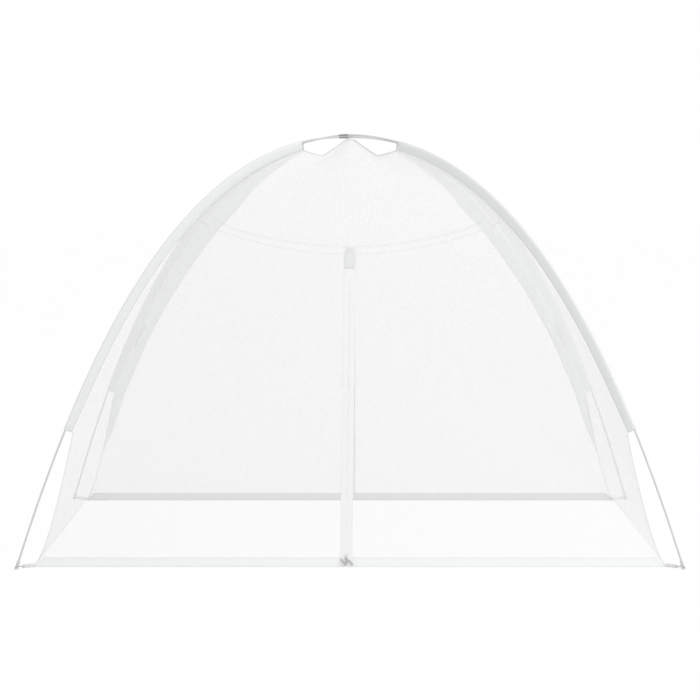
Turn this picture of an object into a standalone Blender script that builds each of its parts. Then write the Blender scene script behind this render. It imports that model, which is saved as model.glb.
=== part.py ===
"""Dome mosquito net tent: two sprung poles crossed over a bottomless net with a zipped door at each end.

Units are metres, +Z is up and the front door faces -Y. The origin is on the ground under the crossing.
Each pole stands in an upright diagonal plane, where r is the distance from the middle of the tent.
"""

import math

import bmesh
import bpy
from mathutils import Matrix, Vector

# Overall size of the pitched tent, over the pole feet and over the top of the poles
TENT_WIDTH = 2.00
TENT_DEPTH = 1.20
TENT_HEIGHT = 1.30
NET_CORNER_INSET = 0.0535
BOW_SHARE = 0.65
BOW_POWER = 3.54

# Clearance between pieces that touch
GAP = 0.0003

# Poles: hollow glass fibre sections, each with a steel ferrule on its upper end
POLE_RADIUS = 0.0030
POLE_BORE = 0.0016
POLE_SECTIONS = 6
POLE_STATIONS = 48
POLE_SIDES = 8
FERRULE_RADIUS = 0.0042
FERRULE_LENGTH = 0.034
FERRULE_FROM_CROSSING = 0.024
CROSSING_REACH = 0.170
SHOCK_CORD_RADIUS = 0.0011

# Foot caps on the pole ends
CAP_RADIUS = 0.0062
CAP_TOP_RADIUS = 0.0052
CAP_NECK_RADIUS = 0.0042
CAP_LENGTH = 0.025
CAP_COLLAR = 0.0045
CAP_NECK_LENGTH = 0.0075
CAP_FLOOR = 0.011
CAP_SIDES = 12

# Pole sleeves, measured along the pole from its foot and from the crossing
SLEEVE_FROM_FOOT = 0.438
SLEEVE_FROM_CROSSING = 0.182
SLEEVE_DEPTH = 0.0305
SLEEVE_DEPTH_AT_FOOT = 0.0265
SLEEVE_DEPTH_AT_TOP = 0.0255
SLEEVE_FOOT_TAPER = 0.12
SLEEVE_TOP_TAPER = 0.40
SLEEVE_CLOTH = 0.0009
SLEEVE_SEAM = 0.0022
SEAM_CLEARANCE = 0.0012

# Net panels
NET_THICKNESS = 0.0010
RIDGE_INSET = 0.0011
NET_LIFT = 0.0006
RIDGE_LOWER_BOW = 0.82
RIDGE_LOWER_STEPS = 4
SIDE_SAG = 0.035
SIDE_COLUMNS = 6
ROW_MARGIN = 0.010
PEAK_RADIUS = 0.012
PEAK_DROP = 0.0070
PEAK_DIP_RADIUS = 0.103
PEAK_DIP_HEIGHT = 0.0635
VALLEY_DEPTH = 0.028
VALLEY_REACH = 0.400

# Doors: an arched seam across each end panel, and a zip from the hem up to it
SEAM_HEIGHT = 0.929
SEAM_END_RISE = 0.095
SEAM_TOP_IN = 0.256
SEAM_COLUMNS = 4
SEAM_BAND_WIDTH = 0.008
SEAM_BAND_END_WIDTH = 0.010
SEAM_BAND_THICKNESS = 0.0008
ZIP_TOP_BELOW_SEAM = 0.048
PATCH_WIDTH = 0.032
PATCH_THICKNESS = 0.0010
FRONT_ZIP_DRIFT = -0.012
FOLD_TRIM_TOP = 0.009
FOLD_TRIM_CORNER = 0.012

# Hems and zip tapes
HEM_HEIGHT = 0.030
HEM_THICKNESS = 0.0016
TAPE_WIDTH = 0.018
TAPE_THICKNESS = 0.0012
COIL_WIDTH = 0.0030
COIL_THICKNESS = 0.0028
COIL_HALF_GAP = 0.0010

# Zip slider and its two pulls
SLIDER_LENGTH = 0.022
SLIDER_WIDTH = 0.0115
SLIDER_NOSE_WIDTH = 0.0080
SLIDER_PLATE = 0.0012
SLIDER_LIP = 0.0011
SLIDER_POST = 0.0010
SLIDER_CLEARANCE = 0.0005
SLIDER_PARK = 0.0200
SLIDER_TOP_STOP = 0.010
BRIDGE_LENGTH = 0.0090
BRIDGE_FROM_FOOT = 0.0065
BRIDGE_HEIGHT = 0.0042
BRIDGE_WIDTH = 0.0020
BRIDGE_WALL = 0.0011
PULL_WIDTH = 0.0075
PULL_LENGTH = 0.0195
PULL_THICKNESS = 0.0012
PULL_PIN_RADIUS = 0.0007
PULL_RIM = 0.0013

# Corner fixings: a webbing tab with an eyelet, and an elastic loop round the foot cap
TAB_HEIGHT = 0.011
TAB_THICKNESS = 0.0018
TAB_LENGTH = 0.034
EYELET_RADIUS = 0.0028
EYELET_RIM = 0.0016
EYELET_PROUD = 0.0006
LOOP_CORD_RADIUS = 0.0013

# Tie-backs on the back ridges, a ribbon with a toggle
TIE_HEIGHT = 0.645
TIE_LENGTH = 0.095
TIE_WIDTH = 0.006
TIE_THICKNESS = 0.0010
TIE_INSET = 0.0045
TOGGLE_RADIUS = 0.0021

# The tie that holds the net's peak to the crossing
PEAK_TIE_CORD = 0.0014
PEAK_TIE_HALF_WIDTH = 0.0066
PEAK_PATCH_HALF = 0.012
PEAK_PATCH_THICKNESS = 0.0012

# Places worked out from the sizes above
FOOT_X = TENT_WIDTH / 2 - CAP_RADIUS
FOOT_Y = TENT_DEPTH / 2 - CAP_RADIUS
HALF_SPAN = math.hypot(FOOT_X, FOOT_Y)
PLAN_X = FOOT_X / HALF_SPAN
PLAN_Y = FOOT_Y / HALF_SPAN
TIE_TOP = GAP + 2 * PEAK_TIE_CORD
LOWER_RISE = TENT_HEIGHT - TIE_TOP - 3 * POLE_RADIUS - GAP
CROSSING_SHIFT = POLE_RADIUS + GAP / 2
POLE_RISE = LOWER_RISE + CROSSING_SHIFT
CORNER_R = HALF_SPAN - NET_CORNER_INSET
DOOR_FOOT_Y = CORNER_R * PLAN_Y
DOOR_LEAN = math.atan2(SEAM_TOP_IN, SEAM_HEIGHT)
SEAM_UP_SLOPE = math.hypot(SEAM_TOP_IN, SEAM_HEIGHT)
ZIP_TOP = SEAM_UP_SLOPE - ZIP_TOP_BELOW_SEAM
CORNER_X = CORNER_R * PLAN_X
SEAM_END_HEIGHT = SEAM_HEIGHT + SEAM_END_RISE
BAND_END_HEIGHT = SEAM_END_HEIGHT + SEAM_BAND_END_WIDTH
NET_FACE = NET_THICKNESS / 2 + GAP
FOLD_ANGLE = math.atan2(CORNER_X, ZIP_TOP)
FOLD_PROUD = HEM_THICKNESS / 2 + GAP / 2
SLIDER_TRAVEL = ZIP_TOP - SLIDER_TOP_STOP - SLIDER_LENGTH - SLIDER_PARK
CHANNEL_HEIGHT = COIL_THICKNESS / 2 + SLIDER_CLEARANCE
LIP_HEIGHT = TAPE_THICKNESS / 2 + SLIDER_CLEARANCE
SLIDER_FACE = CHANNEL_HEIGHT + SLIDER_PLATE
PULL_PIN_RISE = SLIDER_FACE + BRIDGE_HEIGHT / 2

FABRIC_WHITE = (0.88, 0.89, 0.89)


def clear_scene():
    for old in list(bpy.data.objects):
        bpy.data.objects.remove(old, do_unlink=True)


def collection(name):
    made = bpy.data.collections.new(name)
    bpy.context.scene.collection.children.link(made)
    return made


def material(name, colour, roughness, metallic=0.0, alpha=1.0):
    made = bpy.data.materials.new(name)
    made.use_nodes = True
    shader = made.node_tree.nodes["Principled BSDF"]
    shader.inputs["Base Color"].default_value = (*colour, 1.0)
    shader.inputs["Roughness"].default_value = roughness
    shader.inputs["Metallic"].default_value = metallic
    shader.inputs["Alpha"].default_value = alpha
    made.diffuse_color = (*colour, alpha)
    return made


def make_materials():
    return {
        "netting": material("netting", (0.90, 0.905, 0.905), 0.80, alpha=0.45),
        "sleeve_cloth": material("sleeve_cloth", FABRIC_WHITE, 0.75),
        "hem_tape": material("hem_tape", FABRIC_WHITE, 0.70),
        "zip_tape": material("zip_tape", (0.88, 0.89, 0.88), 0.65),
        "glass_fibre": material("glass_fibre", (0.44, 0.45, 0.45), 0.45),
        "zip_metal": material("zip_metal", (0.45, 0.46, 0.46), 0.35, metallic=1.0),
        "foot_plastic": material("foot_plastic", (0.34, 0.34, 0.34), 0.50),
        "elastic_cord": material("elastic_cord", (0.34, 0.34, 0.34), 0.80),
        "shock_cord": material("shock_cord", (0.80, 0.80, 0.78), 0.80),
        "webbing": material("webbing", (0.84, 0.85, 0.85), 0.80),
    }


def add_mesh(name, vertices, faces, look, group, smooth=False):
    """A closed body from vertices and faces, with its normals turned outwards."""
    mesh = bpy.data.meshes.new(name)
    work = bmesh.new()
    corners = [work.verts.new(place) for place in vertices]
    for face in faces:
        work.faces.new([corners[index] for index in face])
    bmesh.ops.recalc_face_normals(work, faces=work.faces)
    work.to_mesh(mesh)
    work.free()
    if smooth:
        mesh.shade_smooth()
        mesh.set_sharp_from_angle(angle=math.radians(40))
    made = bpy.data.objects.new(name, mesh)
    made.data.materials.append(look)
    group.objects.link(made)
    return made


def flat_piece(name, outline, thickness, look, group, frame, middle=0.0):
    """A closed 2D outline, filled and given its thickness, laid in a frame's own XY plane."""
    curve = bpy.data.curves.new(name, "CURVE")
    curve.dimensions = "2D"
    curve.fill_mode = "BOTH"
    curve.extrude = thickness / 2
    for loop in outline:
        spline = curve.splines.new("POLY")
        spline.points.add(len(loop) - 1)
        for point, (x, y) in zip(spline.points, loop):
            point.co = (x, y, 0.0, 1.0)
        spline.use_cyclic_u = True
    curve.materials.append(look)
    made = bpy.data.objects.new(name, curve)
    made.matrix_world = frame @ Matrix.Translation((0, 0, middle))
    group.objects.link(made)
    return made


def as_mesh(source):
    """The mesh that a curve object makes, its caps welded, in the curve's place."""
    bpy.context.view_layer.update()
    evaluated = source.evaluated_get(bpy.context.evaluated_depsgraph_get())
    mesh = bpy.data.meshes.new_from_object(evaluated)
    work = bmesh.new()
    work.from_mesh(mesh)
    bmesh.ops.remove_doubles(work, verts=work.verts, dist=1e-6)
    work.to_mesh(mesh)
    work.free()
    name = source.name
    group = source.users_collection[0]
    place = source.matrix_world.copy()
    bpy.data.objects.remove(source, do_unlink=True)
    made = bpy.data.objects.new(name, mesh)
    made.matrix_world = place
    group.objects.link(made)
    return made


def boolean(target, tool, operation):
    """Cut a target with a tool, or join the tool to it; the tool becomes a hidden guide."""
    change = target.modifiers.new(tool.name, "BOOLEAN")
    change.operation = operation
    change.object = tool
    change.solver = "EXACT"
    tool.hide_render = True
    tool.display_type = "WIRE"


def box(name, low, high, look, group, frame):
    """A box between two corners of a frame."""
    work = bmesh.new()
    bmesh.ops.create_cube(work, size=1.0)
    size = [b - a for a, b in zip(low, high)]
    middle = [(a + b) / 2 for a, b in zip(low, high)]
    bmesh.ops.scale(work, vec=size, verts=work.verts)
    bmesh.ops.translate(work, vec=middle, verts=work.verts)
    mesh = bpy.data.meshes.new(name)
    work.to_mesh(mesh)
    work.free()
    mesh.materials.append(look)
    made = bpy.data.objects.new(name, mesh)
    made.matrix_world = frame
    group.objects.link(made)
    return made


def joint_empty(name, place, group):
    """The parent of a moving piece, standing on its joint's axis."""
    made = bpy.data.objects.new(name, None)
    made.empty_display_size = 0.02
    made.location = place
    group.objects.link(made)
    return made


def hang_on(child, parent):
    """Parent a piece without moving it."""
    child.parent = parent
    child.matrix_parent_inverse = Matrix.Translation(parent.location).inverted()


def bow_height(r):
    """The sprung curve that both poles share: a pole's height at a distance r from its middle."""
    share = abs(r) / HALF_SPAN
    return POLE_RISE * (1 - BOW_SHARE * share ** 2 - (1 - BOW_SHARE) * share ** BOW_POWER)


class Pole:
    """One sprung pole: an even row of stations from foot to foot in its upright diagonal plane.

    Both poles have the same bow, and part at the crossing, where side 1 passes under side -1.
    """

    def __init__(self, side):
        self.along = Vector((PLAN_X, PLAN_Y * side, 0))
        self.across = Vector((-PLAN_Y * side, PLAN_X, 0))
        fine = 4000
        line = []
        for step in range(fine + 1):
            r = HALF_SPAN * (2 * step / fine - 1)
            near = max(0.0, 1 - abs(r) / CROSSING_REACH)
            shift = CROSSING_SHIFT * math.sin(math.pi / 2 * near) ** 2
            line.append((r, bow_height(r) - shift * side))
        reach = [0.0]
        for (r0, z0), (r1, z1) in zip(line, line[1:]):
            reach.append(reach[-1] + math.hypot(r1 - r0, z1 - z0))
        self.stations = []
        at = 0
        for number in range(POLE_STATIONS + 1):
            wanted = reach[-1] * number / POLE_STATIONS
            while reach[at + 1] < wanted and at < fine - 1:
                at += 1
            share = (wanted - reach[at]) / (reach[at + 1] - reach[at])
            (r0, z0), (r1, z1) = line[at], line[at + 1]
            self.stations.append((r0 + (r1 - r0) * share, z0 + (z1 - z0) * share))
        self.reach = [0.0]
        for (r0, z0), (r1, z1) in zip(self.stations, self.stations[1:]):
            self.reach.append(self.reach[-1] + math.hypot(r1 - r0, z1 - z0))
        self.length = self.reach[-1]

    def flat(self, distance):
        """The (r, z) place and the (r, z) direction at a distance from the left foot."""
        last = len(self.stations) - 2
        at = min(max(0, sum(1 for value in self.reach if value <= distance) - 1), last)
        (r0, z0), (r1, z1) = self.stations[at], self.stations[at + 1]
        step = self.reach[at + 1] - self.reach[at]
        share = (distance - self.reach[at]) / step
        direction = Vector(((r1 - r0) / step, (z1 - z0) / step))
        if abs(share) < 1e-6 and at > 0:
            (rb, zb) = self.stations[at - 1]
            before = self.reach[at] - self.reach[at - 1]
            direction += Vector(((r0 - rb) / before, (z0 - zb) / before))
            direction.normalize()
        return Vector((r0 + (r1 - r0) * share, z0 + (z1 - z0) * share)), direction

    def place(self, r, z):
        return self.along * r + Vector((0, 0, z))

    def distances(self, start, end):
        """Both ends of a stretch and the stations inside it."""
        inside = [value for value in self.reach if start + 1e-4 < value < end - 1e-4]
        return [start, *inside, end]

    def ring(self, distance, radius, sides):
        """Points round the pole, square to it."""
        (r, z), (dr, dz) = self.flat(distance)
        middle = self.place(r, z)
        out = self.along * -dz + Vector((0, 0, dr))
        points = []
        for number in range(sides):
            turn = 2 * math.pi * (number + 0.5) / sides
            points.append(middle + out * (radius * math.cos(turn)) + self.across * (radius * math.sin(turn)))
        return points


def tube(name, outer, inner, look, group, smooth=True):
    """A wall between an outer and an inner chain of rings, closed by a flat rim at each end."""
    chain = outer + inner[::-1]
    sides = len(outer[0])
    vertices = [point for ring in chain for point in ring]
    faces = []
    for number in range(len(chain)):
        following = (number + 1) % len(chain)
        for side in range(sides):
            beside = (side + 1) % sides
            faces.append((number * sides + side, number * sides + beside,
                          following * sides + beside, following * sides + side))
    return add_mesh(name, vertices, faces, look, group, smooth)


def make_pole_sections(pole, label, middle_shift, looks, group):
    """The sections of one pole, foot to foot; each but the last ends in a ferrule that takes the next."""
    step = pole.length / POLE_SECTIONS
    joins = [0.0]
    for number in range(1, POLE_SECTIONS):
        joins.append(number * step + middle_shift)
    joins.append(pole.length)
    half = FERRULE_LENGTH / 2
    socket = POLE_RADIUS + GAP
    for number in range(POLE_SECTIONS):
        start = joins[number] + (CAP_FLOOR if number == 0 else GAP / 2)
        last = number == POLE_SECTIONS - 1
        end = joins[number + 1] - (CAP_FLOOR if last else GAP / 2)
        outer = []
        inner = []
        for distance in pole.distances(start, end if last else joins[number + 1] - half):
            outer.append(pole.ring(distance, POLE_RADIUS, POLE_SIDES))
        for distance in pole.distances(start, end):
            inner.append(pole.ring(distance, POLE_BORE, POLE_SIDES))
        if not last:
            tip = joins[number + 1] + half
            for distance in pole.distances(joins[number + 1] - half, tip):
                outer.append(pole.ring(distance, FERRULE_RADIUS, POLE_SIDES))
            for distance in pole.distances(end, tip):
                inner.append(pole.ring(distance, socket, POLE_SIDES))
        tube(f"{label}_section_{number + 1}", outer, inner, looks["glass_fibre"], group)


def make_shock_cord(pole, label, looks, group):
    """The elastic cord that runs through all the sections and holds them in a string."""
    curve = bpy.data.curves.new(f"{label}_shock_cord", "CURVE")
    curve.dimensions = "3D"
    curve.bevel_depth = SHOCK_CORD_RADIUS
    curve.bevel_resolution = 1
    curve.use_fill_caps = True
    distances = pole.distances(CAP_FLOOR + GAP, pole.length - CAP_FLOOR - GAP)
    spline = curve.splines.new("POLY")
    spline.points.add(len(distances) - 1)
    for point, distance in zip(spline.points, distances):
        (r, z), _ = pole.flat(distance)
        point.co = (*pole.place(r, z), 1.0)
    curve.materials.append(looks["shock_cord"])
    made = bpy.data.objects.new(f"{label}_shock_cord", curve)
    group.objects.link(made)


def foot_frame(pole, right):
    """A frame at a pole's foot on the ground, its Z axis up the pole and its X axis towards the tent."""
    (r, z), (dr, dz) = pole.flat(pole.length if right else 0.0)
    if right:
        dr, dz = -dr, -dz
    up = pole.along * dr + Vector((0, 0, dz))
    across = pole.across * (-1 if right else 1)
    inward = across.cross(up)
    frame = Matrix((inward, across, up)).transposed().to_4x4()
    frame.translation = pole.place(r, 0.0)
    return frame


def make_foot_cap(name, pole, right, looks, group, cutters):
    """A turned cap that takes the pole's end, necked for the elastic loop and cut flat on the ground."""
    below = CAP_RADIUS
    neck = CAP_COLLAR + CAP_NECK_LENGTH
    socket = POLE_RADIUS + GAP
    floor = CAP_FLOOR - GAP
    profile = [
        (0.0, floor), (socket, floor), (socket, CAP_LENGTH), (CAP_TOP_RADIUS - 0.0008, CAP_LENGTH),
        (CAP_TOP_RADIUS, CAP_LENGTH - 0.0012), (CAP_TOP_RADIUS, neck + 0.0008), (CAP_NECK_RADIUS, neck),
        (CAP_NECK_RADIUS, CAP_COLLAR), (CAP_RADIUS, CAP_COLLAR - 0.0008), (CAP_RADIUS, -below), (0.0, -below),
    ]
    mesh = bpy.data.meshes.new(name)
    work = bmesh.new()
    line = [work.verts.new((radius, 0, height)) for radius, height in profile]
    for first, second in zip(line, line[1:]):
        work.edges.new((first, second))
    work.to_mesh(mesh)
    work.free()
    mesh.materials.append(looks["foot_plastic"])
    made = bpy.data.objects.new(name, mesh)
    made.matrix_world = foot_frame(pole, right)
    group.objects.link(made)
    turn = made.modifiers.new("turn", "SCREW")
    turn.steps = CAP_SIDES
    turn.render_steps = CAP_SIDES
    turn.use_merge_vertices = True
    turn.merge_threshold = 1e-5
    ground = box(f"{name}_ground", (-0.05, -0.05, -0.10), (0.05, 0.05, 0.0), looks["foot_plastic"], cutters,
                 Matrix.Translation(pole.place(*pole.flat(pole.length if right else 0.0)[0])))
    boolean(made, ground, "DIFFERENCE")
    return made


def sleeve_depth(from_foot, from_crossing):
    """How far the sleeve hangs inside its pole, drawn in towards both of its ends."""
    foot = min(1.0, max(0.0, (from_foot - SLEEVE_FROM_FOOT) / SLEEVE_FOOT_TAPER))
    top = min(1.0, max(0.0, (from_crossing - SLEEVE_FROM_CROSSING) / SLEEVE_TOP_TAPER))
    depth_foot = SLEEVE_DEPTH_AT_FOOT + (SLEEVE_DEPTH - SLEEVE_DEPTH_AT_FOOT) * foot
    depth_top = SLEEVE_DEPTH_AT_TOP + (SLEEVE_DEPTH - SLEEVE_DEPTH_AT_TOP) * math.sqrt(top)
    return min(depth_foot, depth_top)


def sleeve_run(pole):
    """Distances from the left foot at which a left-hand sleeve has its rings."""
    return pole.distances(SLEEVE_FROM_FOOT, pole.length / 2 - SLEEVE_FROM_CROSSING)


def ridge_line(pole):
    """Half of the net's ridge in its diagonal plane, as (r, z) with r from the corner in to the peak."""
    sewn = []
    for distance in sleeve_run(pole):
        place, (dr, dz) = pole.flat(distance)
        depth = sleeve_depth(distance, pole.length / 2 - distance)
        sewn.append((-(place.x + dz * depth), place.y - dr * depth))
    low_r, low_z = sewn[0]
    lower = []
    for number in range(RIDGE_LOWER_STEPS):
        z = NET_LIFT + (low_z - NET_LIFT) * number / RIDGE_LOWER_STEPS
        share = ((z - NET_LIFT) / (low_z - NET_LIFT)) ** RIDGE_LOWER_BOW
        lower.append((CORNER_R + (low_r - CORNER_R) * share, z))
    dip = (PEAK_DIP_RADIUS, LOWER_RISE - PEAK_DIP_HEIGHT + POLE_RADIUS)
    peak = (PEAK_RADIUS, LOWER_RISE - PEAK_DROP)
    return lower + sewn + [dip, peak]


def ridge_at(ridge, height):
    """The ridge's r at a height, below the sleeve's upper end."""
    for (r0, z0), (r1, z1) in zip(ridge, ridge[1:]):
        if z0 <= height <= z1:
            return r0 + (r1 - r0) * (height - z0) / (z1 - z0)
    raise ValueError(f"no ridge at height {height}")


def door_y(height):
    """How far the door's own plane stands from the middle of the tent at a height."""
    return DOOR_FOOT_Y - SEAM_TOP_IN * height / SEAM_HEIGHT


def seam_height(share):
    """The arched seam's height at a share of the way from the door's middle to the ridge."""
    return SEAM_HEIGHT + SEAM_END_RISE * share * share


def marked_ridge(pole):
    """The ridge with a point wherever a row of the door's net starts, and no others along the seam."""
    ridge = ridge_line(pole)
    marks = [FOLD_TRIM_CORNER, ZIP_TOP * math.cos(DOOR_LEAN), BAND_END_HEIGHT]
    marks += [seam_height(number / SEAM_COLUMNS) for number in range(SEAM_COLUMNS + 1)]
    kept = []
    for r, z in ridge[:-2]:
        beside_mark = any(abs(z - mark) < ROW_MARGIN for mark in marks)
        if not beside_mark and not SEAM_HEIGHT < z < BAND_END_HEIGHT:
            kept.append((r, z))
    kept += [(ridge_at(ridge, mark), mark) for mark in marks]
    return sorted(kept, key=lambda point: point[1]) + ridge[-2:]


def make_sleeve(name, pole, ridge_pole, right, looks, group):
    """A cloth tunnel round one leg of a pole, drawn in to the seam that holds the net."""
    bore = (FERRULE_RADIUS + GAP) / math.cos(math.pi / 8)
    outer = []
    inner = []
    mirror = -1 if right else 1
    reference = sleeve_run(ridge_pole)
    for own, shared in zip(sleeve_run(pole), reference):
        (r, z), _ = pole.flat(own)
        middle = pole.place(r * mirror, z)
        place, (dr, dz) = ridge_pole.flat(shared)
        depth = sleeve_depth(shared, ridge_pole.length / 2 - shared)
        seam = pole.place((place.x + dz * depth) * mirror, place.y - dr * depth)
        inward = (seam - middle).normalized()
        reach = (seam - middle).length - SEAM_CLEARANCE
        outer.append(sleeve_ring(middle, inward, pole.across, bore + SLEEVE_CLOTH, reach, SLEEVE_SEAM / 2))
        inner.append(sleeve_ring(middle, inward, pole.across, bore, reach - 2 * SLEEVE_CLOTH, 0.0003))
    return tube(name, outer, inner, looks["sleeve_cloth"], group)


def sleeve_ring(middle, inward, across, radius, reach, tip):
    """A drop-shaped ring: half round over the pole, flat sides drawn in to a narrow tip."""
    points = []
    for number in range(5):
        turn = math.pi * (0.5 + number / 4)
        points.append(middle + inward * (radius * math.cos(turn)) + across * (radius * math.sin(turn)))
    points.append(middle + inward * reach - across * tip)
    points.append(middle + inward * reach + across * tip)
    return points


def corner_place(r, z, x_side, y_side):
    return Vector((r * PLAN_X * x_side, r * PLAN_Y * y_side, z))


def sheet(name, patches, look, group, outwards, thickness=NET_THICKNESS, lift=None):
    """A cloth panel: patches of rows of points, skinned, joined where they meet and given thickness.

    Without a lift the cloth is centred on the points; with one it lies that far outside them.
    """
    mesh = bpy.data.meshes.new(name)
    work = bmesh.new()
    for rows in patches:
        for lower, higher in zip(rows, rows[1:]):
            across = len(lower) - 1
            for number in range(across):
                a, b, c, d = lower[number], lower[number + 1], higher[number + 1], higher[number]
                halves = ((a, b, d), (b, c, d)) if number < across / 2 else ((a, b, c), (a, c, d))
                for places in halves:
                    apart = [(places[0] - places[1]).length, (places[1] - places[2]).length,
                             (places[2] - places[0]).length]
                    if min(apart) > 1e-6:
                        work.faces.new([work.verts.new(place) for place in places])
    bmesh.ops.remove_doubles(work, verts=work.verts, dist=1e-5)
    bmesh.ops.recalc_face_normals(work, faces=work.faces)
    work.normal_update()
    if sum(face.normal.dot(outwards) * face.calc_area() for face in work.faces) < 0:
        bmesh.ops.reverse_faces(work, faces=work.faces)
    work.to_mesh(mesh)
    work.free()
    mesh.materials.append(look)
    made = bpy.data.objects.new(name, mesh)
    group.objects.link(made)
    wall = made.modifiers.new("cloth", "SOLIDIFY")
    wall.thickness = thickness
    wall.offset = 0.0 if lift is None else 1 + 2 * lift / thickness
    wall.use_even_offset = True
    wall.use_quality_normals = True
    return made


def make_side_net(name, ridge, x_side, looks, group):
    """The net between the front and the back ridge of one side, sagging inwards in the middle."""
    rows = []
    span = len(ridge) - 1
    for number, (r, z) in enumerate(ridge):
        before = ridge[max(0, number - 1)]
        after = ridge[min(span, number + 1)]
        run = Vector(((after[0] - before[0]) * PLAN_X, after[1] - before[1])).normalized()
        if z < ridge[-3][1]:
            share = z / ridge[-3][1]
        else:
            share = 1.0
        sag = SIDE_SAG * math.sin(math.pi * share)
        half = r * PLAN_Y - RIDGE_INSET
        row = []
        for column in range(SIDE_COLUMNS + 1):
            across = 2 * column / SIDE_COLUMNS - 1
            drop = sag * (1 - across * across)
            row.append(Vector(((r * PLAN_X - run.y * drop) * x_side, half * across, z + run.x * drop)))
        rows.append(row)
    return sheet(name, [rows], looks["netting"], group, Vector((x_side, 0, 0)))


def arch_rows(ridge, y_side):
    """Rows of the net above the arched seam; the first two are the edges of the seam's band.

    Between the sleeves' ends and the peak the edges hang in a V, and a valley runs down from each V.
    """
    seam_r = ridge_at(ridge, SEAM_END_HEIGHT)
    band_r = ridge_at(ridge, BAND_END_HEIGHT)
    bulge = door_y(SEAM_HEIGHT) - seam_r * PLAN_Y
    band_drop = SEAM_END_RISE + SEAM_BAND_END_WIDTH - SEAM_BAND_WIDTH
    sleeve_end_r, sleeve_end_z = ridge[-3]
    peak_z = ridge[-1][1]
    crown_fall = peak_z - sleeve_end_z + band_drop * (sleeve_end_r / band_r) ** 1.5
    rows = []
    for r, z in ridge:
        if z < SEAM_END_HEIGHT - 1e-6 and r > PEAK_DIP_RADIUS + 1e-6:
            continue
        fall = min(1.0, (r / band_r) ** 1.5)
        drop = SEAM_END_RISE if r > seam_r - 1e-6 else band_drop * fall
        valley = VALLEY_DEPTH * max(0.0, VALLEY_REACH - r) / (VALLEY_REACH - sleeve_end_r)
        if r < sleeve_end_r - 1e-6:
            drop = z - peak_z + crown_fall * (r / sleeve_end_r) ** 1.2
            valley = 0.0
        row = []
        for column in range(-SEAM_COLUMNS, SEAM_COLUMNS + 1):
            share = column / SEAM_COLUMNS
            left = 1 - share * share
            row.append(Vector(((r * PLAN_X - RIDGE_INSET) * share, (r * PLAN_Y + bulge * fall * left) * y_side,
                               z - drop * left - valley * 4 * share * share * left)))
        rows.append(row)
    return rows


def make_door_net(name, ridge, y_side, looks, group):
    """The fixed net of an end panel: a wing beside each door flap, and all that is above the arched seam."""
    seam_r = ridge_at(ridge, SEAM_END_HEIGHT)
    zip_top = ZIP_TOP * math.cos(DOOR_LEAN)
    edge = GAP / 2 / math.sin(FOLD_ANGLE)
    seam_x = seam_r * PLAN_X - RIDGE_INSET
    seam_y = door_y(SEAM_HEIGHT)
    wings = []
    for side in (-1, 1):
        rows = []
        for r, z in ridge:
            if z < FOLD_TRIM_CORNER - 1e-6 or z > SEAM_END_HEIGHT + 1e-6:
                continue
            if z <= SEAM_HEIGHT + 1e-6:
                inner_x = (zip_top - z) / zip_top * CORNER_X + edge if z < zip_top - 1e-6 else 0.0
                inner_y = door_y(z)
            else:
                bend = (z - SEAM_HEIGHT) / SEAM_END_RISE
                inner_x = seam_x * math.sqrt(bend)
                inner_y = seam_y + (seam_r * PLAN_Y - seam_y) * bend
            rows.append([Vector(((r * PLAN_X - RIDGE_INSET) * side, r * PLAN_Y * y_side, z)),
                         Vector((inner_x * side, inner_y * y_side, z))])
        wings.append(rows)
    return sheet(name, [*wings, arch_rows(ridge, y_side)], looks["netting"], group, Vector((0, y_side, 0)))


def make_seam_band(name, ridge, y_side, looks, group):
    """The doubled strip sewn on the net along the arched seam, wider towards the ridges."""
    rows = []
    for row in arch_rows(ridge, y_side)[:2]:
        ends = [row[0].lerp(row[1], 0.02), row[-1].lerp(row[-2], 0.02)]
        rows.append([ends[0], *row[1:-1], ends[1]])
    return sheet(name, [rows], looks["hem_tape"], group, Vector((0, y_side, 0)), SEAM_BAND_THICKNESS,
                 NET_FACE + GAP / 2)


def door_frame(y_side):
    """A door's own frame: X across to the wearer's right of +X, Y up the slope, Z out of the tent."""
    along = Vector((1, 0, 0))
    up = Vector((0, -math.sin(DOOR_LEAN) * y_side, math.cos(DOOR_LEAN)))
    out = Vector((0, math.cos(DOOR_LEAN) * y_side, math.sin(DOOR_LEAN)))
    frame = Matrix((along, up, out)).transposed().to_4x4()
    frame.translation = Vector((0, DOOR_FOOT_Y * y_side, 0))
    return frame


def zip_drift(y_side):
    """How far the zip's foot is drawn sideways from the middle; only the front one is."""
    return FRONT_ZIP_DRIFT if y_side < 0 else 0.0


def zip_frame(y_side):
    """The door's frame, turned so that its Y axis runs up the zip."""
    drift = zip_drift(y_side)
    turn = Matrix.Rotation(math.atan2(drift, ZIP_TOP), 4, "Z")
    return door_frame(y_side) @ Matrix.Translation((drift, 0, 0)) @ turn


def sided(outline, side, y_side):
    """An outline for one side of the zip, drawn over with the zip's foot and fixed on the fold line."""
    drift = zip_drift(y_side)
    return [[(x * side + drift * (1 - y / ZIP_TOP - x / CORNER_X), y) for x, y in loop] for loop in outline]


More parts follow.
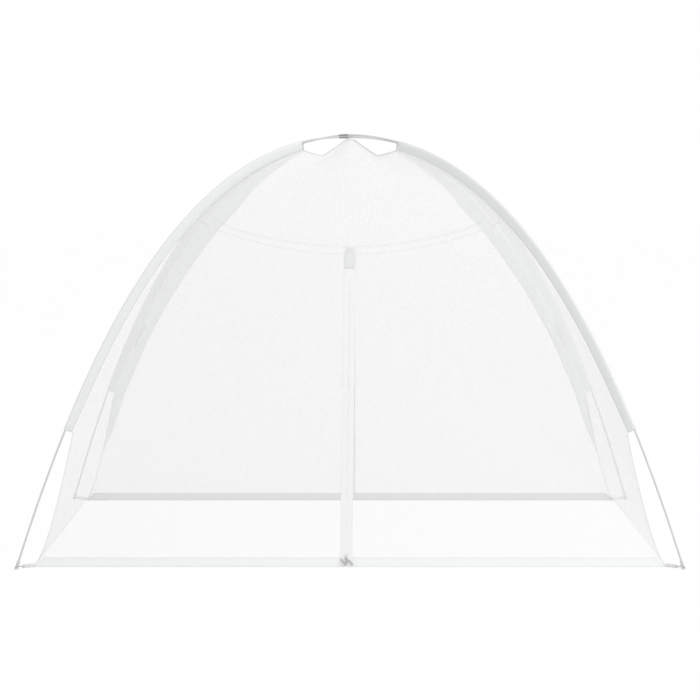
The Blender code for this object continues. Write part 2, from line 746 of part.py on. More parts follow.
def make_flap(label, y_side, side, looks, group, cutters):
    """One half of a zipped door: its net, hem and zip tape, all on the fold line's axis."""
    frame = door_frame(y_side)
    inset = GAP / 2 / math.cos(FOLD_ANGLE)
    slider_half = SLIDER_WIDTH / 2 + SLIDER_CLEARANCE
    coil_foot = SLIDER_PARK + SLIDER_LENGTH + GAP
    coil_top = ZIP_TOP - SLIDER_TOP_STOP - SLIDER_LENGTH - GAP
    tape_foot = HEM_HEIGHT + GAP
    tape_top = ZIP_TOP - FOLD_TRIM_TOP
    net_edge = TAPE_WIDTH + GAP
    coil_root = COIL_HALF_GAP + COIL_WIDTH
    name_side = "left" if side < 0 else "right"

    def at_fold(up_slope):
        return (CORNER_X * (1 - (up_slope + inset) / ZIP_TOP), up_slope)

    def fold_height(x):
        return (x, ZIP_TOP * (1 - x / CORNER_X) - inset)

    net = [[(net_edge, tape_foot), at_fold(tape_foot), fold_height(net_edge)]]
    end_x, end_height = at_fold(FOLD_TRIM_CORNER)
    hem = [[(slider_half, NET_LIFT), (end_x, NET_LIFT), (end_x, end_height), at_fold(HEM_HEIGHT),
            (slider_half, HEM_HEIGHT)]]
    tape = [[
        (slider_half, tape_foot), (TAPE_WIDTH, tape_foot), fold_height(TAPE_WIDTH), at_fold(tape_top),
        (slider_half, tape_top), (slider_half, coil_top), (coil_root, coil_top), (coil_root, coil_foot),
        (slider_half, coil_foot),
    ]]
    zip_tape = as_mesh(flat_piece(f"{label}_zip_tape_{name_side}", sided(tape, side, y_side), TAPE_THICKNESS,
                                  looks["zip_tape"], group, frame))
    rib = [[(COIL_HALF_GAP, coil_foot), (coil_root + GAP, coil_foot), (coil_root + GAP, coil_top),
            (COIL_HALF_GAP, coil_top)]]
    coil = as_mesh(flat_piece(f"{label}_coil_{name_side}", sided(rib, side, y_side), COIL_THICKNESS,
                              looks["zip_tape"], cutters, frame))
    boolean(zip_tape, coil, "UNION")
    pieces = [
        flat_piece(f"{label}_net_{name_side}_flap", sided(net, side, y_side), NET_THICKNESS, looks["netting"], group, frame),
        flat_piece(f"{label}_hem_{name_side}", sided(hem, side, y_side), HEM_THICKNESS, looks["hem_tape"], group, frame),
        zip_tape,
    ]
    corner = frame @ Vector((CORNER_X * side, 0, FOLD_PROUD))
    pivot = joint_empty(f"{label}_{name_side}_fold", corner, group)
    for piece in pieces:
        hang_on(piece, pivot)
    return pivot


def make_patch(label, ridge, y_side, looks, group):
    """The reinforcing patch sewn over the zip's upper end and up over the seam's band."""
    foot = door_frame(y_side) @ Vector((0, ZIP_TOP, 0))
    foot_r = ridge_at(ridge, foot.z)
    foot_side = Vector((foot_r * PLAN_X, foot_r * PLAN_Y * y_side, foot.z))
    rows = [side_points(foot, foot_side, PATCH_WIDTH / 2)]
    for row in arch_rows(ridge, y_side)[:2]:
        middle = len(row) // 2
        rows.append(side_points(row[middle], row[middle + 1], PATCH_WIDTH / 2))
    lift = NET_FACE + SEAM_BAND_THICKNESS + 2 * GAP
    return sheet(f"{label}_zip_patch", [rows], looks["hem_tape"], group, Vector((0, y_side, 0)), PATCH_THICKNESS,
                 lift)


def side_points(middle, beside, reach):
    """A point in the middle, and the two at a distance from it towards a neighbour and its mirror."""
    right = middle.lerp(beside, reach / (beside.x - middle.x))
    return [Vector((-right.x, right.y, right.z)), middle, right]


def slider_profile():
    """The slider's section: two plates held by a post, with lips that guide the tapes."""
    half = SLIDER_WIDTH / 2
    lip = half - SLIDER_LIP
    post = SLIDER_POST / 2
    right_top = [
        (post, CHANNEL_HEIGHT - 0.0001), (lip, CHANNEL_HEIGHT), (lip, LIP_HEIGHT), (half, LIP_HEIGHT),
        (half, SLIDER_FACE - SLIDER_PLATE / 3), (half - SLIDER_PLATE / 2, SLIDER_FACE),
    ]
    left_top = [(-x, out) for x, out in reversed(right_top)]
    left_low = [(-x, -out) for x, out in right_top]
    right_low = [(x, -out) for x, out in reversed(right_top)]
    return right_top + left_top + left_low + right_low


def make_slider(label, y_side, looks, group, cutters, pivot):
    """The zip's slider, with a bridge on each face, and the two pulls that swing on them."""
    frame = zip_frame(y_side)
    foot = SLIDER_PARK
    top = SLIDER_PARK + SLIDER_LENGTH
    middle = foot + SLIDER_LENGTH / 2
    stand = Matrix(((1, 0, 0), (0, 0, -1), (0, 1, 0))).to_4x4()
    stand.translation = Vector((0, middle, 0))
    slider = as_mesh(flat_piece(f"{label}_zip_slider", [slider_profile()], SLIDER_LENGTH, looks["zip_metal"], group,
                                frame @ stand))

    wide = SLIDER_WIDTH / 2 + 0.0004
    nose = SLIDER_NOSE_WIDTH / 2
    shoulder = top - SLIDER_LENGTH * 0.45
    shield = [[(-wide, foot - 0.001), (wide, foot - 0.001), (wide, shoulder), (nose, top - 0.0008),
               (nose - 0.0012, top + 0.0004), (-nose + 0.0012, top + 0.0004), (-nose, top - 0.0008),
               (-wide, shoulder)]]
    outline = as_mesh(flat_piece(f"{label}_slider_outline", shield, 4 * SLIDER_FACE, looks["zip_metal"], cutters,
                                 frame))
    boolean(slider, outline, "INTERSECT")
    saddle = foot + BRIDGE_FROM_FOOT
    for face, out in (("outer", 1), ("inner", -1)):
        bridge = make_bridge(f"{label}_bridge_{face}", saddle, out, looks, cutters, frame)
        boolean(slider, bridge, "UNION")
    hang_on(slider, pivot)

    for face, out in (("outer", 1), ("inner", -1)):
        pin = frame @ Vector((0, saddle - BRIDGE_LENGTH / 2 + BRIDGE_WALL + 2 * PULL_PIN_RADIUS, PULL_PIN_RISE * out))
        swing = joint_empty(f"{label}_{face}_pull_pin", pin, group)
        hang_on(swing, pivot)
        swing.matrix_parent_inverse = Matrix.Translation(pivot.location).inverted()
        lean = Matrix.Identity(3) if out > 0 else Matrix.Rotation(-DOOR_LEAN * y_side, 3, "X")
        pull_frame = (lean @ frame.to_3x3()).to_4x4()
        pull_frame.translation = pin
        pull = make_pull(f"{label}_pull_{face}", looks, group, cutters, pull_frame)
        hang_on(pull, swing)
        pull.matrix_parent_inverse = Matrix.Translation(pin).inverted()


def make_bridge(name, middle, out, looks, group, frame):
    """The staple on a slider's face that holds a pull, as an arched outline of the slider's width."""
    base = SLIDER_FACE - SLIDER_PLATE / 2
    crown = SLIDER_FACE + BRIDGE_HEIGHT
    half = BRIDGE_LENGTH / 2
    corner = 0.0012
    outer = [(middle - half, base), (middle - half, crown - corner), (middle - half + corner, crown),
             (middle + half - corner, crown), (middle + half, crown - corner), (middle + half, base)]
    inner = [(middle + half - BRIDGE_WALL, base), (middle + half - BRIDGE_WALL, crown - BRIDGE_WALL - corner / 2),
             (middle + half - BRIDGE_WALL - corner / 2, crown - BRIDGE_WALL),
             (middle - half + BRIDGE_WALL + corner / 2, crown - BRIDGE_WALL),
             (middle - half + BRIDGE_WALL, crown - BRIDGE_WALL - corner / 2), (middle - half + BRIDGE_WALL, base)]
    outline = [(up, height * out) for up, height in outer + inner]
    turn = Matrix(((0, 0, 1), (1, 0, 0), (0, 1, 0))).to_4x4()
    return as_mesh(flat_piece(name, [outline], BRIDGE_WIDTH, looks["zip_metal"], group, frame @ turn))


def make_pull(name, looks, group, cutters, frame):
    """A flat pull tab with a window round its pin and a hole in its tip."""
    half = PULL_WIDTH / 2
    top = PULL_PIN_RADIUS
    end = -PULL_LENGTH
    corner = 0.0018
    tab = [(-half, top - corner), (-half + corner, top), (half - corner, top), (half, top - corner),
           (half, end + corner), (half - corner, end), (-half + corner, end), (-half, end + corner)]
    pane = half - PULL_RIM
    window_top = -PULL_PIN_RADIUS
    window = [(-pane, window_top), (-pane, -0.0058), (-pane + 0.001, -0.0068), (pane - 0.001, -0.0068),
              (pane, -0.0058), (pane, window_top)]
    hole_half = half - 2 * PULL_RIM
    hole = [(-hole_half, end + 0.0028), (-hole_half, end + 0.0078), (hole_half, end + 0.0078),
            (hole_half, end + 0.0028)]
    return flat_piece(name, [tab, window, hole], PULL_THICKNESS, looks["zip_metal"], group, frame)


def corner_frame(x_side, y_side):
    """A frame in one corner's diagonal plane: X outwards from the tent, Y up and Z across."""
    outwards = Vector((PLAN_X * x_side, PLAN_Y * y_side, 0))
    up = Vector((0, 0, 1))
    return Matrix((outwards, up, outwards.cross(up))).transposed().to_4x4()


def round_points(middle, radius, count):
    return [(middle[0] + radius * math.cos(2 * math.pi * number / count),
             middle[1] + radius * math.sin(2 * math.pi * number / count)) for number in range(count)]


def make_corner_tab(name, x_side, y_side, looks, group, cutters):
    """The webbing tab sewn in the net's corner, with an eyelet at its end."""
    frame = corner_frame(x_side, y_side)
    low = NET_LIFT
    high = low + TAB_HEIGHT
    start = CORNER_R + SEAM_CLEARANCE
    end = start + TAB_LENGTH
    round_off = TAB_HEIGHT * 0.3
    eye = (end - TAB_HEIGHT / 2, (low + high) / 2)
    strap = [(start, low), (end - round_off, low), (end, low + round_off), (end, high - round_off),
             (end - round_off, high), (start, high)]
    rim = EYELET_RADIUS + EYELET_RIM
    tab = as_mesh(flat_piece(name, [strap, round_points(eye, EYELET_RADIUS + EYELET_RIM / 2, 12)], TAB_THICKNESS,
                             looks["webbing"], group, frame))
    eyelet = as_mesh(flat_piece(f"{name}_eyelet", [round_points(eye, rim, 12), round_points(eye, EYELET_RADIUS, 12)],
                                TAB_THICKNESS + 2 * EYELET_PROUD, looks["webbing"], cutters, frame))
    boolean(tab, eyelet, "UNION")
    tab.data.materials.clear()
    tab.data.materials.append(looks["webbing"])
    return frame @ Vector((*eye, 0.0))


def make_corner_loop(name, pole, right, eye, looks, group):
    """The elastic loop from the eyelet round the neck of the foot cap."""
    foot = foot_frame(pole, right)
    neck = foot @ Vector((0, 0, CAP_COLLAR + CAP_NECK_LENGTH / 2))
    inward = Vector((eye.x - neck.x, eye.y - neck.y, 0)).normalized()
    across = Vector((-inward.y, inward.x, 0))
    round_neck = CAP_NECK_RADIUS + GAP + LOOP_CORD_RADIUS
    reach = (Vector((eye.x, eye.y, 0)) - Vector((neck.x, neck.y, 0))).length
    far_half = LOOP_CORD_RADIUS + TAB_THICKNESS / 2 + EYELET_PROUD + GAP * 2
    points = []
    for number in range(9):
        turn = math.pi * (0.5 + number / 8)
        points.append((round_neck * math.cos(turn), round_neck * math.sin(turn) * 1.0))
    middle = reach - far_half + 0.0002
    for number in range(7):
        turn = math.pi * (-0.5 + number / 6)
        points.append((middle + far_half * math.cos(turn), far_half * math.sin(turn)))
    curve = bpy.data.curves.new(name, "CURVE")
    curve.dimensions = "3D"
    curve.bevel_depth = LOOP_CORD_RADIUS
    curve.bevel_resolution = 1
    spline = curve.splines.new("POLY")
    spline.points.add(len(points) - 1)
    for point, (along, aside) in zip(spline.points, points):
        share = min(1.0, max(0.0, along / reach))
        height = neck.z + (eye.z - neck.z) * share
        place = Vector((neck.x, neck.y, 0)) + inward * along + across * aside
        point.co = (place.x, place.y, height, 1.0)
    spline.use_cyclic_u = True
    curve.materials.append(looks["elastic_cord"])
    made = bpy.data.objects.new(name, curve)
    group.objects.link(made)
    return made


def make_tie_back(name, ridge, x_side, looks, group, cutters):
    """A ribbon with a toggle, lying just inside a back ridge, for tying an open flap."""
    frame = corner_frame(x_side, 1)
    top = Vector((ridge_at(ridge, TIE_HEIGHT), TIE_HEIGHT))
    low_height = TIE_HEIGHT - TIE_LENGTH * 0.85
    low = Vector((ridge_at(ridge, low_height), low_height))
    run = (low - top).normalized()
    aside = Vector((-run.y, run.x))
    if aside.x > 0:
        aside = -aside
    near = aside * TIE_INSET
    far = aside * (TIE_INSET + TIE_WIDTH)
    bottom = top + run * TIE_LENGTH
    ribbon = [tuple(top + near), tuple(bottom + near), tuple(bottom + far), tuple(top + far)]
    made = as_mesh(flat_piece(name, [ribbon], TIE_THICKNESS, looks["elastic_cord"], group, frame))
    middle = top + run * TOGGLE_RADIUS * 1.2 + aside * (TIE_INSET + TIE_WIDTH / 2)
    work = bmesh.new()
    bmesh.ops.create_cone(work, cap_ends=True, segments=10, radius1=TOGGLE_RADIUS, radius2=TOGGLE_RADIUS,
                          depth=TIE_WIDTH)
    mesh = bpy.data.meshes.new(f"{name}_toggle")
    work.to_mesh(mesh)
    work.free()
    mesh.materials.append(looks["elastic_cord"])
    toggle = bpy.data.objects.new(f"{name}_toggle", mesh)
    lie = Matrix((aside.to_3d(), run.to_3d(), Vector((0, 0, 1)))).transposed()
    spin = Matrix.Rotation(math.pi / 2, 3, "Y")
    place = (frame.to_3x3() @ lie @ spin).to_4x4()
    place.translation = frame @ middle.to_3d()
    toggle.matrix_world = place
    cutters.objects.link(toggle)
    boolean(made, toggle, "UNION")
    return made


def make_peak_tie(looks, group, cutters):
    """The cord that ties the net's peak round both poles, on a small square patch."""
    top = TENT_HEIGHT - PEAK_TIE_CORD
    patch_top = LOWER_RISE - PEAK_DROP + NET_THICKNESS + GAP + PEAK_PATCH_THICKNESS
    low = patch_top - PEAK_PATCH_THICKNESS / 2
    round_off = PEAK_TIE_HALF_WIDTH * 0.6
    half = PEAK_TIE_HALF_WIDTH
    points = [(-half, low + round_off), (-half, top - round_off), (-half + round_off * 0.3, top - round_off * 0.3),
              (-half + round_off, top), (half - round_off, top), (half - round_off * 0.3, top - round_off * 0.3),
              (half, top - round_off), (half, low + round_off), (half - round_off, low), (-half + round_off, low)]
    curve = bpy.data.curves.new("peak_tie_cord", "CURVE")
    curve.dimensions = "3D"
    curve.bevel_depth = PEAK_TIE_CORD
    curve.bevel_resolution = 1
    spline = curve.splines.new("POLY")
    spline.points.add(len(points) - 1)
    for point, (y, z) in zip(spline.points, points):
        point.co = (0.0, y, z, 1.0)
    spline.use_cyclic_u = True
    cord = bpy.data.objects.new("peak_tie_cord", curve)
    curve.materials.append(looks["webbing"])
    cutters.objects.link(cord)
    cord = as_mesh(cord)
    patch = box("peak_tie", (-PEAK_PATCH_HALF, -PEAK_PATCH_HALF, patch_top - PEAK_PATCH_THICKNESS),
                (PEAK_PATCH_HALF, PEAK_PATCH_HALF, patch_top), looks["webbing"], group, Matrix.Identity(4))
    boolean(patch, cord, "UNION")
    return patch


def build():
    clear_scene()
    group = collection("mosquito_net_tent")
    cutters = collection("cutters")
    looks = make_materials()

    lower_pole = Pole(1)
    upper_pole = Pole(-1)
    ridge = marked_ridge(lower_pole)
    for pole, label in ((lower_pole, "lower_pole"), (upper_pole, "upper_pole")):
        make_pole_sections(pole, label, -FERRULE_FROM_CROSSING, looks, group)
        make_shock_cord(pole, label, looks, group)

    legs = (
        ("front_left", lower_pole, False, -1, -1), ("back_right", lower_pole, True, 1, 1),
        ("back_left", upper_pole, False, -1, 1), ("front_right", upper_pole, True, 1, -1),
    )
    for label, pole, right, x_side, y_side in legs:
        make_foot_cap(f"foot_cap_{label}", pole, right, looks, group, cutters)
        make_sleeve(f"sleeve_{label}", pole, lower_pole, right, looks, group)
        eye = make_corner_tab(f"corner_tab_{label}", x_side, y_side, looks, group, cutters)
        make_corner_loop(f"corner_loop_{label}", pole, right, eye, looks, group)

    make_side_net("side_net_left", ridge, -1, looks, group)
    make_side_net("side_net_right", ridge, 1, looks, group)
    make_tie_back("tie_back_left", ridge, -1, looks, group, cutters)
    make_tie_back("tie_back_right", ridge, 1, looks, group, cutters)
    make_peak_tie(looks, group, cutters)

    for label, y_side in (("front", -1), ("back", 1)):
        make_door_net(f"{label}_net_upper", ridge, y_side, looks, group)
        make_seam_band(f"{label}_seam_band", ridge, y_side, looks, group)
        make_patch(label, ridge, y_side, looks, group)
        left = make_flap(label, y_side, -1, looks, group, cutters)
        make_flap(label, y_side, 1, looks, group, cutters)
        make_slider(label, y_side, looks, group, cutters, left)


build()
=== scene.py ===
"""Mosquito net tent: white netting hung in sleeves on two crossed poles, with a zipped door at each end."""

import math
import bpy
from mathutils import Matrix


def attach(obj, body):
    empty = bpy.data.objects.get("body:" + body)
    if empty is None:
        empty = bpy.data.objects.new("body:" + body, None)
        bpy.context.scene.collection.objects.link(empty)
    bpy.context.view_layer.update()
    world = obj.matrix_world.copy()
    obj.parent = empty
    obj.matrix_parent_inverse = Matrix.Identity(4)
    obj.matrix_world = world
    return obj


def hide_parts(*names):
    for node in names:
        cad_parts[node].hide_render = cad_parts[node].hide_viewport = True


bl_info = {
    "name": "Mosquito Net Tent",
    "version": (1, 0, 0),
    "blender": (4, 5, 0),
    "location": "View3D > Sidebar > Net Tent",
    "description": "Builds a free-standing mosquito net tent on two crossed poles, and its stage",
    "category": "Add Mesh",
}

from bisect import bisect_right

import bmesh
import bpy
from bpy.props import FloatProperty, FloatVectorProperty, PointerProperty
from bpy.types import Operator, Panel, PropertyGroup
from mathutils import Matrix, Vector

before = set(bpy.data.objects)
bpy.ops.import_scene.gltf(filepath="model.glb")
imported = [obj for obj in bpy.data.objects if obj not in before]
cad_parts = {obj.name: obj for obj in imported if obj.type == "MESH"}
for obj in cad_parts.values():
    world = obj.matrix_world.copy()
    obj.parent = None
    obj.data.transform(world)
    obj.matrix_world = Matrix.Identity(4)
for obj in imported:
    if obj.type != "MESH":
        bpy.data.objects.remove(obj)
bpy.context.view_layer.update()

CLEARANCE = 0.0003

# Poles, sleeves and feet, as the solids have them
BOW_SHARE = 0.65
BOW_POWER = 3.54
CROSSING_REACH = 0.170
POLE_RADIUS = 0.0030
POLE_JOINTS = 6
FERRULE_RADIUS = 0.0041
FERRULE_LENGTH = 0.034
FERRULE_FROM_CROSSING = 0.024
CAP_FLOOR = 0.011
SLEEVE_FROM_FOOT = 0.438
SLEEVE_FROM_CROSSING = 0.182
SLEEVE_DEPTH = 0.0305
SLEEVE_DEPTH_AT_FOOT = 0.0265
SLEEVE_DEPTH_AT_TOP = 0.0255
SLEEVE_FOOT_TAPER = 0.12
SLEEVE_TOP_TAPER = 0.40
SLEEVE_HEM = 0.003
FLANGE_WIDTHS = ((0.175, 0.0), (0.28, 0.022), (0.38, 0.036), (0.60, 0.037), (0.92, 0.052), (1.08, 0.053),
                 (1.20, 0.023), (1.25, 0.0))

# The net's ridges, seams and doors
NET_CORNER_INSET = 0.0535
NET_LIFT = 0.0006
RIDGE_LOWER_BOW = 0.68
RIDGE_INSET = 0.0011
SIDE_SAG = 0.035
PEAK_RADIUS = 0.012
PEAK_DROP = 0.0070
PEAK_DIP_RADIUS = 0.103
PEAK_DIP_HEIGHT = 0.0635
VALLEY_DEPTH = 0.028
VALLEY_REACH = 0.400
SEAM_HEIGHT = 0.929
SEAM_END_RISE = 0.095
SEAM_END = SEAM_HEIGHT + SEAM_END_RISE
SEAM_TOP_IN = 0.256
SEAM_BAND_WIDTH = 0.008
SEAM_BAND_END_WIDTH = 0.010
ZIP_TOP_BELOW_SEAM = 0.048
FRONT_ZIP_DRIFT = -0.012

# Zip, slider and pulls
TAPE_EDGE = 0.0004
COIL_INNER = -0.0004
COIL_OUTER = 0.0036
COIL_BACK = -0.0009
COIL_HALF_HEIGHT = 0.0006
COIL_WIRE = 0.00030
SLIDER_LENGTH = 0.022
SLIDER_PARK = 0.020
BRIDGE_FROM_FOOT = 0.0065
FOOT_GAP = 0.0062
HEM_STITCH_INSET = 0.0030
STITCH_PITCH = 0.0032
COIL_PITCH = 0.0022

# The photograph's view, in metres, degrees and millimetres of lens
CAMERA_PLACE = (0.0, -6.1188, 1.1947)
CAMERA_PITCH = math.radians(90 - 5.571)
CAMERA_LENS = 96.98

ENDS = (("front", -1), ("back", 1))
SIDES = (("left", -1), ("right", 1))


def length_property(name, description, default, low, high):
    return FloatProperty(name=name, description=description, default=default, min=low, max=high,
                         subtype="DISTANCE", unit="LENGTH")


def colour_property(name, description, default):
    return FloatVectorProperty(name=name, description=description, default=default, min=0, max=1, size=3,
                               subtype="COLOR")


class TentSizes(PropertyGroup):
    """Sizes that a maker of such a tent would change."""

    width: length_property("Width", "Length over the pole feet along X", 2.0, 1.0, 4.0)
    depth: length_property("Depth", "Length over the pole feet along Y", 1.2, 0.6, 3.0)
    height: length_property("Height", "Height of the upper pole over the ground", 1.3, 0.6, 2.2)
    hem_height: length_property("Hem Height", "Height of the doors' hems", 0.030, 0.01, 0.1)
    tape_width: length_property("Zip Tape Width", "Width of one half of a zip's tape", 0.018, 0.01, 0.04)
    patch_width: length_property("Patch Width", "Width of the patch over a zip's top", 0.032, 0.02, 0.08)
    cap_radius: length_property("Foot Radius", "Radius of a foot cap's collar", 0.0062, 0.004, 0.02)
    net_cell: length_property("Net Cell", "Distance between the holes of the net", 0.0016, 0.0008, 0.01)


class TentFinish(PropertyGroup):
    """Colours of the tent's cloth, cords and metal."""

    netting: colour_property("Netting", "Colour of the net", (0.90, 0.905, 0.905))
    sleeve: colour_property("Sleeve", "Colour of the pole sleeves", (0.80, 0.81, 0.81))
    cloth: colour_property("Cloth", "Colour of hems, bands and bindings", (0.89, 0.90, 0.90))
    tape: colour_property("Zip Tape", "Colour of the zip's tape and coil", (0.915, 0.92, 0.915))
    pole: colour_property("Pole", "Colour of the glass fibre poles", (0.60, 0.61, 0.61))
    ferrule: colour_property("Ferrule", "Colour of the steel ferrules on the poles", (0.34, 0.345, 0.345))
    enamel: colour_property("Slider Enamel", "Colour of the enamelled sliders and pulls", (0.69, 0.70, 0.69))
    metal: colour_property("Zip Metal", "Colour of bare metal on sliders and eyelets", (0.54, 0.55, 0.55))
    plastic: colour_property("Foot Plastic", "Colour of the foot caps", (0.62, 0.62, 0.62))
    cord: colour_property("Cord", "Colour of the elastic loops and tie-backs", (0.62, 0.62, 0.62))
    webbing: colour_property("Webbing", "Colour of the corner tabs", (0.90, 0.91, 0.91))
    floor: colour_property("Floor", "Colour of the studio floor", (0.93, 0.93, 0.93))


def mixed(low, high, share):
    return low + (high - low) * share


def within(share):
    return min(1.0, max(0.0, share))


def eased(share):
    share = within(share)
    return share * share * (3 - 2 * share)


def run_up(spots, row):
    """The length of a line of (r, z) spots, up to a row."""
    return sum(math.hypot(b[0] - a[0], b[1] - a[1]) for a, b in zip(spots[:row], spots[1:row + 1]))


class Arch:
    """One sprung pole in its upright diagonal plane, measured along its length from the left foot."""

    STEPS = 1600

    def __init__(self, rise, reach, along, side):
        self.along = along
        self.across = Vector((-along.y, along.x, 0))
        self.rs = [reach * (2 * step / self.STEPS - 1) for step in range(self.STEPS + 1)]
        self.zs = [rise * self.bow(abs(r) / reach) - side * self.parting(r) for r in self.rs]
        self.run = [0.0]
        for number in range(self.STEPS):
            self.run.append(self.run[-1] + math.hypot(self.rs[number + 1] - self.rs[number],
                                                      self.zs[number + 1] - self.zs[number]))
        self.length = self.run[-1]

    def bow(self, share):
        return 1 - BOW_SHARE * share ** 2 - (1 - BOW_SHARE) * share ** BOW_POWER

    def parting(self, r):
        """How far a pole gives way to the other one, near the crossing."""
        near = max(0.0, 1 - abs(r) / CROSSING_REACH)
        return (POLE_RADIUS + CLEARANCE / 2) * math.sin(math.pi / 2 * near) ** 2

    def flat(self, distance):
        """(r, z, dr, dz) at a distance along the pole."""
        at = min(max(bisect_right(self.run, distance) - 1, 0), self.STEPS - 1)
        step = self.run[at + 1] - self.run[at]
        share = (distance - self.run[at]) / step
        r = mixed(self.rs[at], self.rs[at + 1], share)
        z = mixed(self.zs[at], self.zs[at + 1], share)
        back = max(0, at - 3)
        ahead = min(self.STEPS, at + 4)
        dr, dz = self.rs[ahead] - self.rs[back], self.zs[ahead] - self.zs[back]
        size = math.hypot(dr, dz)
        return r, z, dr / size, dz / size

    def place(self, r, z):
        return self.along * r + Vector((0, 0, z))

    def frame_at(self, distance):
        """The place, the direction along, and the two directions across the pole there."""
        r, z, dr, dz = self.flat(distance)
        ahead = self.along * dr + Vector((0, 0, dz))
        out = self.along * -dz + Vector((0, 0, dr))
        return self.place(r, z), ahead, out, self.across


class Form:
    """The tent's lines, worked out from its sizes."""

    def __init__(self, sizes):
        self.sizes = sizes
        foot_x = sizes.width / 2 - sizes.cap_radius
        foot_y = sizes.depth / 2 - sizes.cap_radius
        self.reach = math.hypot(foot_x, foot_y)
        self.px = foot_x / self.reach
        self.py = foot_y / self.reach
        self.lower_rise = sizes.height - 0.0031 - 3 * POLE_RADIUS - CLEARANCE
        rise = self.lower_rise + POLE_RADIUS + CLEARANCE / 2
        self.lower = Arch(rise, self.reach, Vector((self.px, self.py, 0)), 1)
        self.upper = Arch(rise, self.reach, Vector((self.px, -self.py, 0)), -1)
        self.corner_r = self.reach - NET_CORNER_INSET
        self.corner_x = self.corner_r * self.px
        self.foot_y = self.corner_r * self.py
        self.lean = math.atan2(SEAM_TOP_IN, SEAM_HEIGHT)
        self.zip_top = math.hypot(SEAM_TOP_IN, SEAM_HEIGHT) - ZIP_TOP_BELOW_SEAM
        self.zip_top_z = self.zip_top * math.cos(self.lean)
        self.make_ridge()

    def sleeve_depth(self, distance):
        from_crossing = self.lower.length / 2 - distance
        foot = within((distance - SLEEVE_FROM_FOOT) / SLEEVE_FOOT_TAPER)
        top = within((from_crossing - SLEEVE_FROM_CROSSING) / SLEEVE_TOP_TAPER)
        return min(mixed(SLEEVE_DEPTH_AT_FOOT, SLEEVE_DEPTH, foot),
                   mixed(SLEEVE_DEPTH_AT_TOP, SLEEVE_DEPTH, math.sqrt(top)))

    def sewn_point(self, distance):
        """The ridge's (r, z) beside a place on a left-hand leg, r counted from the middle."""
        r, z, dr, dz = self.lower.flat(distance)
        depth = self.sleeve_depth(distance)
        return -(r + dz * depth), z - dr * depth

    def sleeve_run(self, count):
        """Places along a sleeve, closer together in the hems of its mouths."""
        start = SLEEVE_FROM_FOOT
        end = self.lower.length / 2 - SLEEVE_FROM_CROSSING
        low = [start, start + SLEEVE_HEM / 3, start + SLEEVE_HEM * 0.7]
        high = [end - SLEEVE_HEM * 0.7, end - SLEEVE_HEM / 3, end]
        even = [mixed(start + SLEEVE_HEM, end - SLEEVE_HEM, number / count) for number in range(count + 1)]
        return low + even + high

    def make_ridge(self):
        """The net's ridge from its corner to the end of the sleeve, and on to the tied peak."""
        sewn = [self.sewn_point(distance) for distance in self.sleeve_run(160)]
        low_r, low_z = sewn[0]
        self.ridge = []
        for number in range(40):
            share = number / 40
            self.ridge.append((mixed(self.corner_r, low_r, share ** RIDGE_LOWER_BOW),
                               mixed(NET_LIFT, low_z, share)))
        self.ridge += sewn
        self.ridge_heights = [z for _, z in self.ridge]
        end_r, end_z = sewn[-1]
        dip = (PEAK_DIP_RADIUS, self.lower_rise - PEAK_DIP_HEIGHT + POLE_RADIUS)
        peak = (PEAK_RADIUS, self.lower_rise - PEAK_DROP)
        self.crown = [(end_r, end_z)]
        for (r0, z0), (r1, z1), count in ((self.crown[0], dip, 6), (dip, peak, 8)):
            for number in range(1, count + 1):
                share = number / count
                hang = 0.0012 * math.sin(math.pi * share)
                self.crown.append((mixed(r0, r1, share), mixed(z0, z1, share) - hang))
        self.seam_r = self.ridge_r(SEAM_END)
        self.band_r = self.ridge_r(SEAM_END + SEAM_BAND_END_WIDTH)
        self.bulge = self.door_y(SEAM_HEIGHT) - self.seam_r * self.py

    def ridge_r(self, height):
        at = min(max(bisect_right(self.ridge_heights, height) - 1, 0), len(self.ridge) - 2)
        (r0, z0), (r1, z1) = self.ridge[at], self.ridge[at + 1]
        return mixed(r0, r1, within((height - z0) / (z1 - z0)))

    def door_y(self, height):
        return self.foot_y - SEAM_TOP_IN * height / SEAM_HEIGHT

    def fold_x(self, height):
        return max(0.0, self.corner_x * (1 - height / self.zip_top_z))

    def wing_y(self, x, height):
        """How far out the end panel stands, flat between the folds and drawn out to the ridge beyond."""
        r = self.ridge_r(height)
        fold = self.fold_x(height)
        share = within((x - fold) / max(1e-6, r * self.px - fold))
        flat = self.door_y(height)
        return mixed(flat, r * self.py, share * share)

    def crown_rows(self, count):
        """Ridge points that carry the net above the seam: over the band, up the sleeve, to the peak."""
        band_end = SEAM_END + SEAM_BAND_END_WIDTH
        top = self.ridge[-1][1]
        heights = [SEAM_END]
        heights += [mixed(band_end, top, math.sin(number / count * math.pi / 2)) for number in range(count)]
        return [(self.ridge_r(height), height) for height in heights] + self.crown

    def crown_point(self, r, z, share):
        """(x, y, z) of the net above the seam, on the row that the ridge point carries.

        A shallow valley runs down the net from each V between the sleeves' ends and the peak.
        """
        left = 1 - share * share
        band_drop = SEAM_END_RISE + SEAM_BAND_END_WIDTH - SEAM_BAND_WIDTH
        end_r, end_z = self.crown[0]
        fall = min(1.0, (r / self.band_r) ** 1.5)
        valley = VALLEY_DEPTH * max(0.0, VALLEY_REACH - r) / (VALLEY_REACH - end_r)
        if r >= self.band_r:
            up = within((z - SEAM_END) / SEAM_BAND_END_WIDTH)
            drop = mixed(SEAM_END_RISE, band_drop, up)
        elif r >= end_r - 1e-6:
            drop = band_drop * fall
        else:
            peak_z = self.crown[-1][1]
            middle_fall = peak_z - end_z + band_drop * (end_r / self.band_r) ** 1.5
            drop = z - peak_z + middle_fall * (r / end_r) ** 1.2
            valley = VALLEY_DEPTH * (r - PEAK_RADIUS) / (end_r - PEAK_RADIUS)
        x = (r * self.px - RIDGE_INSET) * share
        y = r * self.py + self.bulge * fall * left
        return x, y, z - (drop + valley * 4 * share * share) * left

